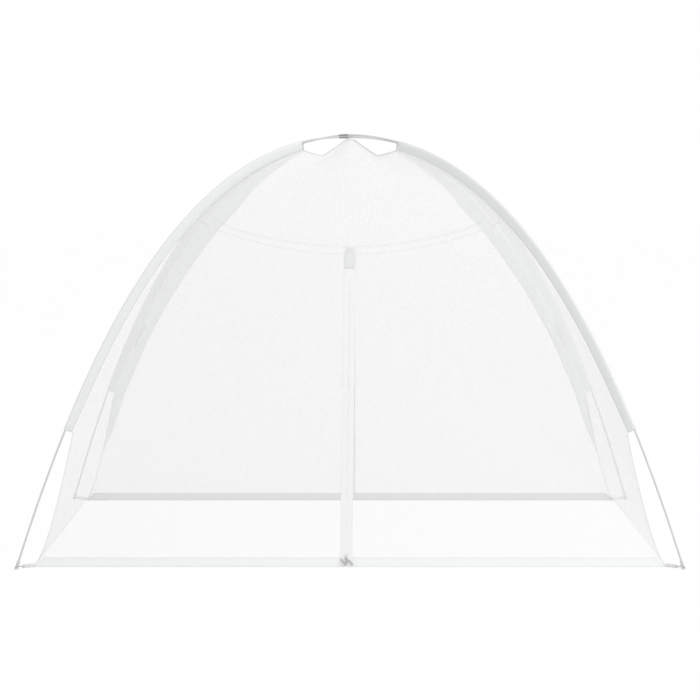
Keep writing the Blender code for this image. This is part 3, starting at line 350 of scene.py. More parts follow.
    def side_point(self, r, z, along, share):
        """(x, y, z) of a side panel: share runs from -1 at the front ridge to 1 at the back one."""
        top = self.ridge[-1][1]
        sag = SIDE_SAG * math.sin(math.pi * min(1.0, z / top)) if along < 1 else 0.0
        ahead = self.ridge_r(min(top, z + 0.01))
        back = self.ridge_r(max(NET_LIFT, z - 0.01))
        run = Vector(((ahead - back) * self.px, 0.02)).normalized()
        drop = sag * (1 - share * share)
        return r * self.px - run.y * drop, r * self.py * share, z + run.x * drop

    def door_frame(self, y_side, drift=0.0):
        """A door's frame: X across, Y up the slope along the zip, Z out of the tent."""
        up = Vector((0, -math.sin(self.lean) * y_side, math.cos(self.lean)))
        out = Vector((0, math.cos(self.lean) * y_side, math.sin(self.lean)))
        made = Matrix((Vector((1, 0, 0)), up, out)).transposed().to_4x4()
        made.translation = Vector((0, self.foot_y * y_side, 0))
        turn = Matrix.Rotation(math.atan2(drift, self.zip_top), 4, "Z")
        return made @ Matrix.Translation((drift, 0, 0)) @ turn

    def corner_spot(self, r, z, x_side, y_side):
        """A point above the diagonal towards one corner."""
        return Vector((r * self.px * x_side, r * self.py * y_side, z))


def form_of(context):
    return Form(context.scene.net_tent_sizes)


def drift_of(end):
    return FRONT_ZIP_DRIFT if end == "front" else 0.0


class Flap:
    """One flap of a door, in the door's own plane: x from the zip, up from the ground, out of the tent."""

    def __init__(self, form, end, y_side, x_side):
        self.form = form
        self.sizes = form.sizes
        self.place = form.door_frame(y_side)
        self.outwards = self.place.to_3x3() @ Vector((0, 0, 1))
        self.side = x_side
        self.drift = drift_of(end)

    def fold(self, up):
        """How far from the zip the line is that the flap folds along."""
        return self.form.corner_x * (1 - up / self.form.zip_top)

    def spot(self, x, up, out=0.0):
        """A point of the flap, drawn sideways with the zip's foot."""
        pull = self.drift * max(0.0, 1 - up / self.form.zip_top - x / self.form.corner_x)
        return self.place @ Vector((self.side * x + pull, up, out))


def deselect():
    bpy.ops.object.select_all(action="DESELECT")


def work_on(piece):
    deselect()
    bpy.context.view_layer.objects.active = piece
    piece.select_set(True)


def named(name):
    piece = bpy.context.view_layer.objects.active
    piece.name = name
    piece.data.name = name
    return piece


def apply_modifier(piece, kind, **values):
    """Add a modifier, set it and apply it."""
    work_on(piece)
    bpy.ops.object.modifier_add(type=kind)
    change = piece.modifiers[-1]
    for key, value in values.items():
        setattr(change, key, value)
    bpy.ops.object.modifier_apply(modifier=change.name)


def thicken(piece, thickness, offset=0.0):
    apply_modifier(piece, "SOLIDIFY", thickness=thickness, offset=offset, use_even_offset=True,
                   use_quality_normals=True)


def round_edges(piece, width):
    apply_modifier(piece, "BEVEL", width=width, segments=2, limit_method="ANGLE",
                   angle_limit=math.radians(50))


def smooth(piece, angle=40):
    work_on(piece)
    bpy.ops.object.shade_smooth_by_angle(angle=math.radians(angle))


def bake_place(piece):
    """Leave a finished piece's object at the origin, with its place in its mesh."""
    work_on(piece)
    bpy.ops.object.transform_apply(location=True, rotation=True, scale=True)


def edit(piece, step, **settings):
    """Take one step on all of a piece in edit mode."""
    work_on(piece)
    bpy.ops.object.mode_set(mode="EDIT")
    bpy.ops.mesh.select_all(action="SELECT")
    step(**settings)
    bpy.ops.object.mode_set(mode="OBJECT")


def face_outwards(piece, outwards=None):
    """Turn the faces outwards: of a closed piece by themselves, of a sheet towards a direction."""
    edit(piece, bpy.ops.mesh.normals_make_consistent, inside=False)
    if outwards is not None:
        total = sum(face.normal.dot(outwards) * face.area for face in piece.data.polygons)
        if total < 0:
            edit(piece, bpy.ops.mesh.flip_normals)


def merge_points(piece, distance=1e-5):
    edit(piece, bpy.ops.mesh.remove_doubles, threshold=distance)


def join(pieces, name):
    """Join pieces into the first."""
    deselect()
    for piece in pieces:
        piece.select_set(True)
    bpy.context.view_layer.objects.active = pieces[0]
    bpy.ops.object.join()
    return named(name)


def lay_sheet(name, columns, rows, point, outwards, thickness=0.0, merge=True):
    """A grid whose every point is laid on a surface; point gives its place and its UV in metres."""
    deselect()
    bpy.ops.mesh.primitive_grid_add(x_subdivisions=columns, y_subdivisions=rows, size=1, calc_uvs=True)
    piece = named(name)
    places = {}
    for vertex in piece.data.vertices:
        key = (round((vertex.co.x + 0.5) * columns), round((vertex.co.y + 0.5) * rows))
        places[vertex.index] = point(*key)
    layer = piece.data.uv_layers.active.data
    for loop in piece.data.loops:
        layer[loop.index].uv = places[loop.vertex_index][1]
    for vertex in piece.data.vertices:
        vertex.co = places[vertex.index][0]
    piece.data.update()
    if merge:
        merge_points(piece)
    face_outwards(piece, outwards)
    if thickness:
        thicken(piece, thickness)
    smooth(piece, 60)
    return piece


def loft(name, rings, capped=True, angle=40):
    """A cylinder whose rings are moved on to given sections, with its UV in metres along and round it."""
    sides = len(rings[0])
    deselect()
    bpy.ops.mesh.primitive_cylinder_add(vertices=sides, radius=1, depth=1,
                                        end_fill_type="NGON" if capped else "NOTHING", calc_uvs=True)
    piece = named(name)
    bpy.ops.object.mode_set(mode="EDIT")
    mesh = bmesh.from_edit_mesh(piece.data)
    bpy.ops.mesh.select_all(action="DESELECT")
    for edge in mesh.edges:
        low, high = edge.verts
        edge.select = abs(low.co.z - high.co.z) > 0.5
    bmesh.update_edit_mesh(piece.data)
    if len(rings) > 2:
        bpy.ops.mesh.subdivide(number_cuts=len(rings) - 2)
    bpy.ops.object.mode_set(mode="OBJECT")
    reach = [0.0]
    for before, after in zip(rings, rings[1:]):
        reach.append(reach[-1] + (ring_middle(after) - ring_middle(before)).length)
    middle = rings[len(rings) // 2]
    girth = sum((middle[number] - middle[number - 1]).length for number in range(sides))
    spots = {}
    for vertex in piece.data.vertices:
        ring = round((vertex.co.z + 0.5) * (len(rings) - 1))
        side = round(math.atan2(vertex.co.y, vertex.co.x) / (2 * math.pi) * sides) % sides
        spots[vertex.index] = (ring, side)
    layer = piece.data.uv_layers.active.data
    for polygon in piece.data.polygons:
        columns = [spots[piece.data.loops[index].vertex_index][1] for index in polygon.loop_indices]
        wraps = max(columns) - min(columns) > sides / 2
        for index, column in zip(polygon.loop_indices, columns):
            ring = spots[piece.data.loops[index].vertex_index][0]
            turned = column + sides if wraps and column < sides / 2 else column
            layer[index].uv = (turned / sides * girth, reach[ring])
    for vertex in piece.data.vertices:
        ring, side = spots[vertex.index]
        vertex.co = rings[ring][side]
    piece.data.update()
    face_outwards(piece)
    smooth(piece, angle)
    return piece


def ring_middle(ring):
    return sum(ring, Vector()) / len(ring)


def circle(middle, first, second, radius, sides):
    """Points round a middle, from the first direction towards the second."""
    points = []
    for number in range(sides):
        turn = 2 * math.pi * number / sides
        points.append(middle + first * (radius * math.cos(turn)) + second * (radius * math.sin(turn)))
    return points


def cord_rings(path, radius, sides, closed=False):
    """Rings round a path, each square to it and turned as little as possible from the last."""
    count = len(path)
    rings = []
    aside = None
    for number, place in enumerate(path):
        ahead = path[(number + 1) % count] if closed or number < count - 1 else place
        back = path[number - 1] if closed or number > 0 else place
        run = (ahead - back).normalized()
        if aside is None:
            aside = run.orthogonal().normalized()
        aside = (aside - run * aside.dot(run)).normalized()
        size = radius[number] if isinstance(radius, (list, tuple)) else radius
        rings.append(circle(place, aside, run.cross(aside), size, sides))
    return rings


def slab(name, outline, thickness, place, bevel=0.0, hole=None):
    """A flat outline, given its thickness and laid in a frame; a hole, if given, is cut through it."""
    deselect()
    bpy.ops.mesh.primitive_circle_add(vertices=len(outline), radius=1, fill_type="NGON", calc_uvs=True)
    piece = named(name)
    for vertex, (x, y) in zip(piece.data.vertices, outline):
        vertex.co = (x, y, -thickness / 2)
    piece.data.update()
    edit(piece, bpy.ops.mesh.extrude_region_move, TRANSFORM_OT_translate={"value": (0, 0, thickness)})
    face_outwards(piece)
    if hole:
        cutter = slab(f"{name}_hole", hole, thickness * 3, Matrix.Identity(4))
        work_on(piece)
        bpy.ops.object.modifier_add(type="BOOLEAN")
        piece.modifiers[-1].object = cutter
        piece.modifiers[-1].operation = "DIFFERENCE"
        bpy.ops.object.modifier_apply(modifier=piece.modifiers[-1].name)
        bpy.data.objects.remove(cutter, do_unlink=True)
    if bevel:
        apply_modifier(piece, "BEVEL", width=bevel, segments=2, limit_method="ANGLE",
                       angle_limit=math.radians(35), harden_normals=False)
    piece.matrix_world = place
    bake_place(piece)
    metre_uv(piece, place)
    smooth(piece, 35)
    return piece


def metre_uv(piece, place):
    """Lay a flat piece's UV map on its own plane, in metres."""
    back = place.inverted()
    if not piece.data.uv_layers:
        piece.data.uv_layers.new(name="UVMap")
    layer = piece.data.uv_layers.active.data
    for loop in piece.data.loops:
        spot = back @ piece.data.vertices[loop.vertex_index].co
        layer[loop.index].uv = (spot.x, spot.y)


def mirrored(half):
    """A whole outline that starts at its left foot, from its right-hand half given from the foot up."""
    left = [(-x, y) for x, y in half]
    return left[:1] + half + left[:0:-1]


def strap_ring(middle, wide, thick, inner, edge):
    """An eight-cornered section of a strap; its corners are cut from inner and edge shares outwards."""
    corners = ((1, edge), (inner, 1), (-inner, 1), (-1, edge),
               (-1, -edge), (-inner, -1), (inner, -1), (1, -edge))
    return [middle + wide * a + thick * b for a, b in corners]


def closed_ring(name, rings):
    """A ring whose last section meets its first."""
    piece = loft(name, rings + [rings[0]], capped=False, angle=80)
    merge_points(piece)
    face_outwards(piece)
    return piece


def finish_piece(piece, body, looks, nodes=()):
    """Give a piece its material, if one is named, its body and the nodes that it replaces."""
    if looks is not None:
        piece.data.materials.clear()
        piece.data.materials.append(looks)
    if nodes:
        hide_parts(*nodes)
    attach(piece, body)
    return piece


# Materials

def new_material(name, roughness=0.5):
    """A material with its node tree and shader; both are None when the material is there already."""
    made = bpy.data.materials.get(name)
    if made:
        return made, None, None
    made = bpy.data.materials.new(name)
    made.use_nodes = True
    shader = made.node_tree.nodes["Principled BSDF"]
    shader.inputs["Roughness"].default_value = roughness
    return made, made.node_tree, shader


def add(tree, kind, **values):
    made = tree.nodes.new(kind)
    for key, value in values.items():
        setattr(made, key, value)
    return made


def math_node(tree, operation, first, second=None):
    made = add(tree, "ShaderNodeMath", operation=operation)
    for slot_number, value in enumerate((first, second)):
        if value is None:
            continue
        if isinstance(value, (int, float)):
            made.inputs[slot_number].default_value = value
        else:
            tree.links.new(value, made.inputs[slot_number])
    return made.outputs[0]


def ramp(tree, factor, low, high, start=0.0, end=1.0):
    """Map a factor between two values to a range, smoothly."""
    made = add(tree, "ShaderNodeMapRange", interpolation_type="SMOOTHSTEP")
    tree.links.new(factor, made.inputs["Value"])
    made.inputs["From Min"].default_value = low
    made.inputs["From Max"].default_value = high
    made.inputs["To Min"].default_value = start
    made.inputs["To Max"].default_value = end
    return made.outputs["Result"]


def tint(tree, factor, dark, light):
    """A colour between two, by a factor."""
    made = add(tree, "ShaderNodeMix", data_type="RGBA")
    tree.links.new(factor, made.inputs["Factor"])
    made.inputs[6].default_value = (*dark, 1)
    made.inputs[7].default_value = (*light, 1)
    return made.outputs[2]


def shade(colour, amount):
    return tuple(min(1.0, part * amount) for part in colour)


def bump(tree, height, distance, strength, normal=None):
    made = add(tree, "ShaderNodeBump")
    made.inputs["Strength"].default_value = strength
    made.inputs["Distance"].default_value = distance
    tree.links.new(height, made.inputs["Height"])
    if normal is not None:
        tree.links.new(normal, made.inputs["Normal"])
    return made.outputs["Normal"]


def noise(tree, vector, scale, detail=3.0):
    made = add(tree, "ShaderNodeTexNoise")
    made.inputs["Scale"].default_value = scale
    made.inputs["Detail"].default_value = detail
    tree.links.new(vector, made.inputs["Vector"])
    return made.outputs["Fac"]


def uv_vector(tree):
    """The UV map, in metres."""
    return add(tree, "ShaderNodeTexCoord").outputs["UV"]


def uv_parts(tree):
    """The UV map's two parts, in metres."""
    parts = add(tree, "ShaderNodeSeparateXYZ")
    tree.links.new(uv_vector(tree), parts.inputs[0])
    return parts.outputs["X"], parts.outputs["Y"]


def object_vector(tree):
    return add(tree, "ShaderNodeTexCoord").outputs["Object"]


def wave(tree, along, pitch, across=None, slant=0.0):
    """A cosine along one part of the UV map, from -1 to 1."""
    value = math_node(tree, "MULTIPLY", along, 2 * math.pi / pitch)
    if across is not None:
        lean = math_node(tree, "MULTIPLY", across, slant * 2 * math.pi / pitch)
        value = math_node(tree, "ADD", value, lean)
    return math_node(tree, "COSINE", value)


def mix_shaders(tree, share, first, second):
    """Blend two shaders by a number or by a factor."""
    made = add(tree, "ShaderNodeMixShader")
    if isinstance(share, float):
        made.inputs[0].default_value = share
    else:
        tree.links.new(share, made.inputs[0])
    tree.links.new(first, made.inputs[1])
    tree.links.new(second, made.inputs[2])
    return made.outputs[0]


def lit_through(tree, share, colour, alpha):
    """Let a share of the light come through the cloth from behind, and some past its threads."""
    glow = add(tree, "ShaderNodeBsdfTranslucent")
    glow.inputs["Color"].default_value = (*colour, 1)
    clear = add(tree, "ShaderNodeBsdfTransparent")
    through = mix_shaders(tree, alpha, clear.outputs[0], glow.outputs[0])
    blend = mix_shaders(tree, share, tree.nodes["Principled BSDF"].outputs[0], through)
    tree.links.new(blend, tree.nodes["Material Output"].inputs["Surface"])


def seen_directly(tree):
    """1 on rays from the camera, a mirror or glass, and 0 on the rest."""
    rays = add(tree, "ShaderNodeLightPath")
    reflected = math_node(tree, "MAXIMUM", rays.outputs["Is Glossy Ray"], rays.outputs["Is Transmission Ray"])
    return math_node(tree, "MAXIMUM", rays.outputs["Is Camera Ray"], reflected)


def netting(finish, sizes):
    """Hexagonal netting: the threads stand out, and the holes between them let the light through."""
    made, tree, shader = new_material("netting_hex", 0.85)
    if tree is None:
        return made
    shader.inputs["Base Color"].default_value = (*finish.netting, 1)
    shader.inputs["Specular IOR Level"].default_value = 0.25
    across, along = uv_parts(tree)
    pitch = sizes.net_cell
    first = wave(tree, across, pitch)
    second = wave(tree, across, pitch * 2, along, math.sqrt(3))
    third = wave(tree, across, pitch * 2, along, -math.sqrt(3))
    cells = math_node(tree, "ADD", math_node(tree, "ADD", first, second), third)
    tree.links.new(ramp(tree, cells, -0.6, 1.2, 0.485, 0.215), shader.inputs["Alpha"])
    tree.links.new(bump(tree, cells, 0.0002, 0.3), shader.inputs["Normal"])
    return made


def stitched(tree, along, across, lines):
    """Rows of stitches that run along a piece, each at its own place across it: 1 on a stitch, 0 off it."""
    total = None
    gate = ramp(tree, wave(tree, along, STITCH_PITCH), -0.35, 0.0)
    for line in lines:
        near = math_node(tree, "ABSOLUTE", math_node(tree, "SUBTRACT", across, line))
        row = ramp(tree, near, 0.0006, 0.0003)
        total = row if total is None else math_node(tree, "MAXIMUM", total, row)
    return math_node(tree, "MULTIPLY", total, gate)


def woven(name, colour, lines=(), pitch=0.0007, through=0.0, open_share=0.0):
    """Plain-woven cloth with soft creases and rows of stitches."""
    made, tree, shader = new_material(name, 0.72)
    if tree is None:
        return made
    shader.inputs["Sheen Weight"].default_value = 0.15
    shader.inputs["Sheen Roughness"].default_value = 0.4
    across, along = uv_parts(tree)
    weave = math_node(tree, "MULTIPLY", wave(tree, across, pitch), wave(tree, along, pitch))
    creases = noise(tree, object_vector(tree), 34.0, 3.0)
    normal = bump(tree, creases, 0.0024, 0.22)
    normal = bump(tree, weave, 0.0001, 0.35, normal)
    shade_factor = ramp(tree, weave, -1.0, 1.0, 0.80, 1.0)
    if lines:
        stitches = stitched(tree, along, across, lines)
        normal = bump(tree, stitches, 0.0005, 0.8, normal)
        shade_factor = math_node(tree, "SUBTRACT", shade_factor, math_node(tree, "MULTIPLY", stitches, 0.35))
    tree.links.new(tint(tree, shade_factor, shade(colour, 0.80), colour), shader.inputs["Base Color"])
    tree.links.new(normal, shader.inputs["Normal"])
    if open_share:
        alpha = ramp(tree, weave, -1.0, 1.0, 1 - open_share * 1.4, 1 - open_share * 0.6)
        tree.links.new(alpha, shader.inputs["Alpha"])
        lit_through(tree, through, colour, alpha)
    return made


def zip_tape(name, finish, edge_shade):
    """Zip tape: herringbone ribs along it, the coil's stitching, and a firm selvedge at its outer edge,
    darkened by edge_shade: partly the selvedge's own tone, partly painted shade.
    """
    made, tree, shader = new_material(name, 0.65)
    if tree is None:
        return made
    across, along = uv_parts(tree)
    folded = math_node(tree, "PINGPONG", across, 0.002)
    ribs = wave(tree, along, 0.0008, folded, 1.0)
    stitching = wave(tree, along, 0.0022)
    away = math_node(tree, "ABSOLUTE", math_node(tree, "SUBTRACT", across, 0.0052))
    near = ramp(tree, away, 0.0008, 0.0004)
    height = math_node(tree, "ADD", ribs, math_node(tree, "MULTIPLY", stitching, near))
    factor = ramp(tree, height, -2.0, 2.0, 0.70, 1.0)
    body = tint(tree, factor, shade(finish.tape, 0.90), finish.tape)
    # The outer edge: the selvedge, with painted shade darkened into its colour.
    edge = add(tree, "ShaderNodeMix", data_type="RGBA")
    tree.links.new(ramp(tree, across, 0.0158, 0.0164), edge.inputs["Factor"])
    tree.links.new(body, edge.inputs[6])
    edge.inputs[7].default_value = (*shade(finish.tape, edge_shade), 1)
    tree.links.new(edge.outputs[2], shader.inputs["Base Color"])
    tree.links.new(bump(tree, height, 0.0002, 0.5), shader.inputs["Normal"])
    return made


def nylon(finish):
    """The coil's clear white nylon, with slight wear from the slider."""
    made, tree, shader = new_material("zip_coil_nylon", 0.38)
    if tree is None:
        return made
    patches = noise(tree, object_vector(tree), 260.0, 2.0)
    tree.links.new(tint(tree, patches, shade(finish.tape, 0.88), finish.tape), shader.inputs["Base Color"])
    return made


def glass_fibre(finish):
    """Pultruded glass fibre: fine streaks along the rod under a satin skin."""
    made, tree, shader = new_material("pole_glass_fibre")
    if tree is None:
        return made
    stretch = add(tree, "ShaderNodeMapping")
    stretch.inputs["Scale"].default_value = (900.0, 14.0, 1.0)
    tree.links.new(uv_vector(tree), stretch.inputs["Vector"])
    streaks = noise(tree, stretch.outputs["Vector"], 1.0, 4.0)
    tree.links.new(tint(tree, streaks, shade(finish.pole, 0.70), shade(finish.pole, 1.35)),
                   shader.inputs["Base Color"])
    tree.links.new(ramp(tree, streaks, 0.3, 0.7, 0.34, 0.52), shader.inputs["Roughness"])
    tree.links.new(bump(tree, streaks, 0.0001, 0.25), shader.inputs["Normal"])
    return made


def worn_metal(name, colour, roughness):
    """Die-cast or drawn metal: cloudy, finely scratched and rubbed brighter in places."""
    made, tree, shader = new_material(name)
    if tree is None:
        return made
    shader.inputs["Metallic"].default_value = 1.0
    place = object_vector(tree)
    clouds = noise(tree, place, 420.0, 4.0)
    stretch = add(tree, "ShaderNodeMapping")
    stretch.inputs["Scale"].default_value = (3000.0, 500.0, 500.0)
    tree.links.new(place, stretch.inputs["Vector"])
    scratches = noise(tree, stretch.outputs["Vector"], 1.0, 2.0)
    tree.links.new(tint(tree, ramp(tree, clouds, 0.35, 0.65), shade(colour, 0.72), shade(colour, 1.25)),
                   shader.inputs["Base Color"])
    tree.links.new(ramp(tree, scratches, 0.3, 0.75, roughness * 0.8, roughness * 1.35),
                   shader.inputs["Roughness"])
    tree.links.new(bump(tree, scratches, 0.0002, 0.2), shader.inputs["Normal"])
    return made


def enamelled(finish):
    """Baked enamel on a cast slider: a soft gloss with a faint pebbled grain, chipped dull in places."""
    made, tree, shader = new_material("slider_enamel")
    if tree is None:
        return made
    place = object_vector(tree)
    grain = noise(tree, place, 1400.0, 2.0)
    chips = ramp(tree, noise(tree, place, 600.0, 4.0), 0.66, 0.72)
    tree.links.new(tint(tree, chips, finish.enamel, shade(finish.enamel, 0.72)), shader.inputs["Base Color"])
    tree.links.new(ramp(tree, grain, 0.3, 0.7, 0.30, 0.42), shader.inputs["Roughness"])
    tree.links.new(bump(tree, grain, 0.0001, 0.2), shader.inputs["Normal"])
    return made


def moulded_plastic(finish):
    """Grey moulded plastic with a fine spark-eroded grain and a dusty foot."""
    made, tree, shader = new_material("foot_plastic_moulded")
    if tree is None:
        return made
    place = object_vector(tree)
    grain = noise(tree, place, 1800.0, 2.0)
    parts = add(tree, "ShaderNodeSeparateXYZ")
    tree.links.new(place, parts.inputs[0])
    dust = ramp(tree, parts.outputs["Z"], 0.006, 0.0, 0.0, 0.6)
    scuffs = math_node(tree, "MULTIPLY", dust, ramp(tree, noise(tree, place, 500.0, 3.0), 0.4, 0.65))
    tree.links.new(tint(tree, scuffs, finish.plastic, shade(finish.plastic, 1.3)),
                   shader.inputs["Base Color"])
    tree.links.new(ramp(tree, grain, 0.3, 0.7, 0.42, 0.62), shader.inputs["Roughness"])
    tree.links.new(bump(tree, grain, 0.0001, 0.4), shader.inputs["Normal"])
    return made


def braided(name, colour, pitch=0.0016):
    """A braided cord: two families of strands that cross round it."""
    made, tree, shader = new_material(name, 0.75)
    if tree is None:
        return made
    shader.inputs["Sheen Weight"].default_value = 0.3
    across, along = uv_parts(tree)
    first = wave(tree, along, pitch, across, 0.8)
    second = wave(tree, along, pitch, across, -0.8)
    strands = math_node(tree, "MULTIPLY", first, second)
    tree.links.new(tint(tree, ramp(tree, strands, -1.0, 1.0), shade(colour, 0.55), shade(colour, 1.5)),
                   shader.inputs["Base Color"])
    tree.links.new(bump(tree, strands, 0.0003, 0.6), shader.inputs["Normal"])
    return made


def webbing(finish):
    """Woven webbing: ribs across the strap and a smooth selvedge."""
    made, tree, shader = new_material("corner_webbing", 0.78)
    if tree is None:
        return made
    across, along = uv_parts(tree)
    ribs = math_node(tree, "MULTIPLY", wave(tree, across, 0.0016), wave(tree, along, 0.0011))
    tree.links.new(tint(tree, ramp(tree, ribs, -1.0, 1.0), shade(finish.webbing, 0.78), finish.webbing),
                   shader.inputs["Base Color"])
    tree.links.new(bump(tree, ribs, 0.0003, 0.6), shader.inputs["Normal"])
    return made


class NETTENT_OT_stage(Operator):
    """Lay the floor, and set the lights, the world and the camera"""

    bl_idname = "net_tent.stage"
    bl_label = "Stage"

    def execute(self, context):
        finish = context.scene.net_tent_finish
        deselect()
        bpy.ops.mesh.primitive_plane_add(size=60)
        floor = named("studio_floor")
        made, tree, shader = new_material("studio_paper", 0.9)
        shader.inputs["Base Color"].default_value = (*finish.floor, 1)
        glow = add(tree, "ShaderNodeEmission")
        share = math_node(tree, "MULTIPLY", seen_directly(tree), 0.95)
        blend = mix_shaders(tree, share, shader.outputs[0], glow.outputs[0])
        tree.links.new(blend, tree.nodes["Material Output"].inputs["Surface"])
        floor.data.materials.append(made)
        self.light_world(context)
        self.add_lamp(context, "key_softbox", (3.0, -2.6, 4.7), 3.2, 96)
        self.add_camera(context)
        return {"FINISHED"}

    def light_world(self, context):
        world = bpy.data.worlds.new("studio_world")
        context.scene.world = world
        world.use_nodes = True
        tree = world.node_tree
        tree.nodes.clear()
        fill = self.background(tree, 0.85)
        white = self.background(tree, 1.0)
        output = add(tree, "ShaderNodeOutputWorld")
        tree.links.new(mix_shaders(tree, seen_directly(tree), fill, white), output.inputs["Surface"])

    def background(self, tree, strength):
        made = add(tree, "ShaderNodeBackground")
        made.inputs["Color"].default_value = (1, 1, 1, 1)
        made.inputs["Strength"].default_value = strength
        return made.outputs[0]

    def add_lamp(self, context, name, place, size, power):
        bpy.ops.object.light_add(type="AREA", location=place)
        lamp = context.view_layer.objects.active
        lamp.name = name
        lamp.data.shape = "SQUARE"
        lamp.data.size = size
        lamp.data.energy = power
        aim = Vector((0, 0, 0.5)) - Vector(place)
        lamp.rotation_euler = aim.to_track_quat("-Z", "Y").to_euler()

    def add_camera(self, context):
        bpy.ops.object.camera_add(location=CAMERA_PLACE, rotation=(CAMERA_PITCH, 0, 0))
        camera = context.view_layer.objects.active
        camera.name = "product_camera"
        camera.data.sensor_width = 36
        camera.data.lens = CAMERA_LENS
        camera.data.clip_end = 60
        context.scene.camera = camera
        context.scene.view_settings.view_transform = "Standard"


class NETTENT_OT_poles(Operator):
    """Make the hollow rods of both poles, each swelling into its ferrule, and finish the cords inside"""

    bl_idname = "net_tent.poles"
    bl_label = "Poles"

    SIDES = 20
    STEP = 0.018

    def execute(self, context):
        form = form_of(context)
        finish = context.scene.net_tent_finish
        fibre = glass_fibre(finish)
        steel = worn_metal("ferrule_steel", finish.ferrule, 0.42)
        cord = braided("shock_cord_braid", (0.80, 0.80, 0.78))
        for label, arch in (("lower_pole", form.lower), ("upper_pole", form.upper)):
            step = arch.length / POLE_JOINTS
            joins = [0.0] + [number * step - FERRULE_FROM_CROSSING for number in range(1, POLE_JOINTS)]
            joins.append(arch.length)
            for number in range(POLE_JOINTS):
                last = number == POLE_JOINTS - 1
                start = joins[number] + (CAP_FLOOR if number == 0 else CLEARANCE)
                end = joins[number + 1] - (CAP_FLOOR if last else -FERRULE_LENGTH / 2)
                join_at = None if last else joins[number + 1]
                rod = self.make_rod(f"{label}_rod_{number + 1}", arch, start, end, join_at)
                finish_piece(rod, "frame", fibre, [f"{label}_section_{number + 1}"])
                if not last:
                    self.plate_ferrule(rod, arch.frame_at(joins[number + 1])[0], steel)
            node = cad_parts[f"{label}_shock_cord"]
            node.data.materials.clear()
            node.data.materials.append(cord)
        return {"FINISHED"}

    def plate_ferrule(self, rod, middle, steel):
        """Give the rod's widened end the ferrule's steel."""
        rod.data.materials.append(steel)
        for face in rod.data.polygons:
            if (face.center - middle).length < FERRULE_LENGTH / 2 + FERRULE_RADIUS:
                face.material_index = 1

    def make_rod(self, name, arch, start, end, join_at):
        """Rings along one section: rod, then the ferrule's chamfer, barrel and open mouth."""
        spots = []
        rod_end = end if join_at is None else join_at - FERRULE_LENGTH / 2
        count = max(2, round((rod_end - start) / self.STEP))
        for number in range(count + 1):
            spots.append((mixed(start, rod_end, number / count), POLE_RADIUS))
        if join_at is not None:
            chamfer = 0.0006
            spots += [(rod_end + 0.0001, POLE_RADIUS + 0.0004), (rod_end + chamfer, FERRULE_RADIUS)]
            spots += [(mixed(rod_end + chamfer, end - chamfer, share), FERRULE_RADIUS)
                      for share in (0.5, 1.0)]
            spots += [(end, FERRULE_RADIUS - chamfer), (end, POLE_RADIUS + CLEARANCE),
                      (join_at + 0.001, POLE_RADIUS + CLEARANCE)]
        rings = []
        for distance, radius in spots:
            middle, _, out, across = arch.frame_at(distance)
            rings.append(circle(middle, out, across, radius, self.SIDES))
        return loft(name, rings)


class NETTENT_OT_feet(Operator):
    """Turn the caps that the poles stand in"""

    bl_idname = "net_tent.feet"
    bl_label = "Foot Caps"

    SIDES = 40

    def execute(self, context):
        form = form_of(context)
        plastic = moulded_plastic(context.scene.net_tent_finish)
        for label, arch, at_end in legs(form):
            cap = self.make_cap(f"{label}_cap", form, arch, at_end)
            finish_piece(cap, "frame", plastic, [f"foot_cap_{label}"])
        return {"FINISHED"}

    def make_cap(self, name, form, arch, at_end):
        """A disc drawn up in steps to the cap's mouth, down into its socket, and cut level at the ground."""
        foot, up, inward, _ = foot_axes(arch, at_end)
        collar = form.sizes.cap_radius
        steps = [
            (0.0010, collar), (0.0034, collar), (0.0044, collar - 0.0007), (0.0048, 0.0046), (0.0054, 0.0042),
            (0.0112, 0.0042), (0.0119, 0.0046), (0.0124, 0.0051), (0.0232, 0.0052), (0.0243, 0.0050),
            (0.0250, 0.0044), (0.0250, 0.0037), (0.0244, 0.0034), (0.0120, 0.0033),
        ]
        low = -0.0030
        place = Matrix((inward, up.cross(inward), up)).transposed().to_4x4()
        place.translation = foot
        deselect()
        bpy.ops.mesh.primitive_circle_add(vertices=self.SIDES, radius=collar - 0.0004, fill_type="NGON",
                                          location=(0, 0, low), calc_uvs=True)
        cap = named(name)
        bake_place(cap)
        bpy.ops.object.mode_set(mode="EDIT")
        bpy.ops.mesh.select_all(action="SELECT")
        height, radius = low, collar - 0.0004
        for next_height, next_radius in steps:
            bpy.ops.mesh.extrude_region_move(TRANSFORM_OT_translate={"value": (0, 0, next_height - height)})
            size = next_radius / radius
            bpy.ops.transform.resize(value=(size, size, 1), center_override=(0, 0, next_height))
            height, radius = next_height, next_radius
        bpy.ops.object.mode_set(mode="OBJECT")
        cap.matrix_world = place
        bake_place(cap)
        edit(cap, bpy.ops.mesh.bisect, plane_co=(foot.x, foot.y, 0), plane_no=(0, 0, 1), use_fill=True,
             clear_inner=True)
        face_outwards(cap)
        smooth(cap)
        return cap


def legs(form):
    """Each leg's name, its pole, and whether it is at that pole's far end."""
    return (("front_left", form.lower, False), ("back_right", form.lower, True),
            ("back_left", form.upper, False), ("front_right", form.upper, True))


def leg_sides(label):
    return (-1 if "left" in label else 1), (-1 if "front" in label else 1)


def foot_axes(arch, at_end):
    """A foot's place, the direction up its pole, and the directions in towards the tent and across."""
    place, ahead, out, across = arch.frame_at(arch.length if at_end else 0.0)
    up = -ahead if at_end else ahead
    return place, up, -out, across


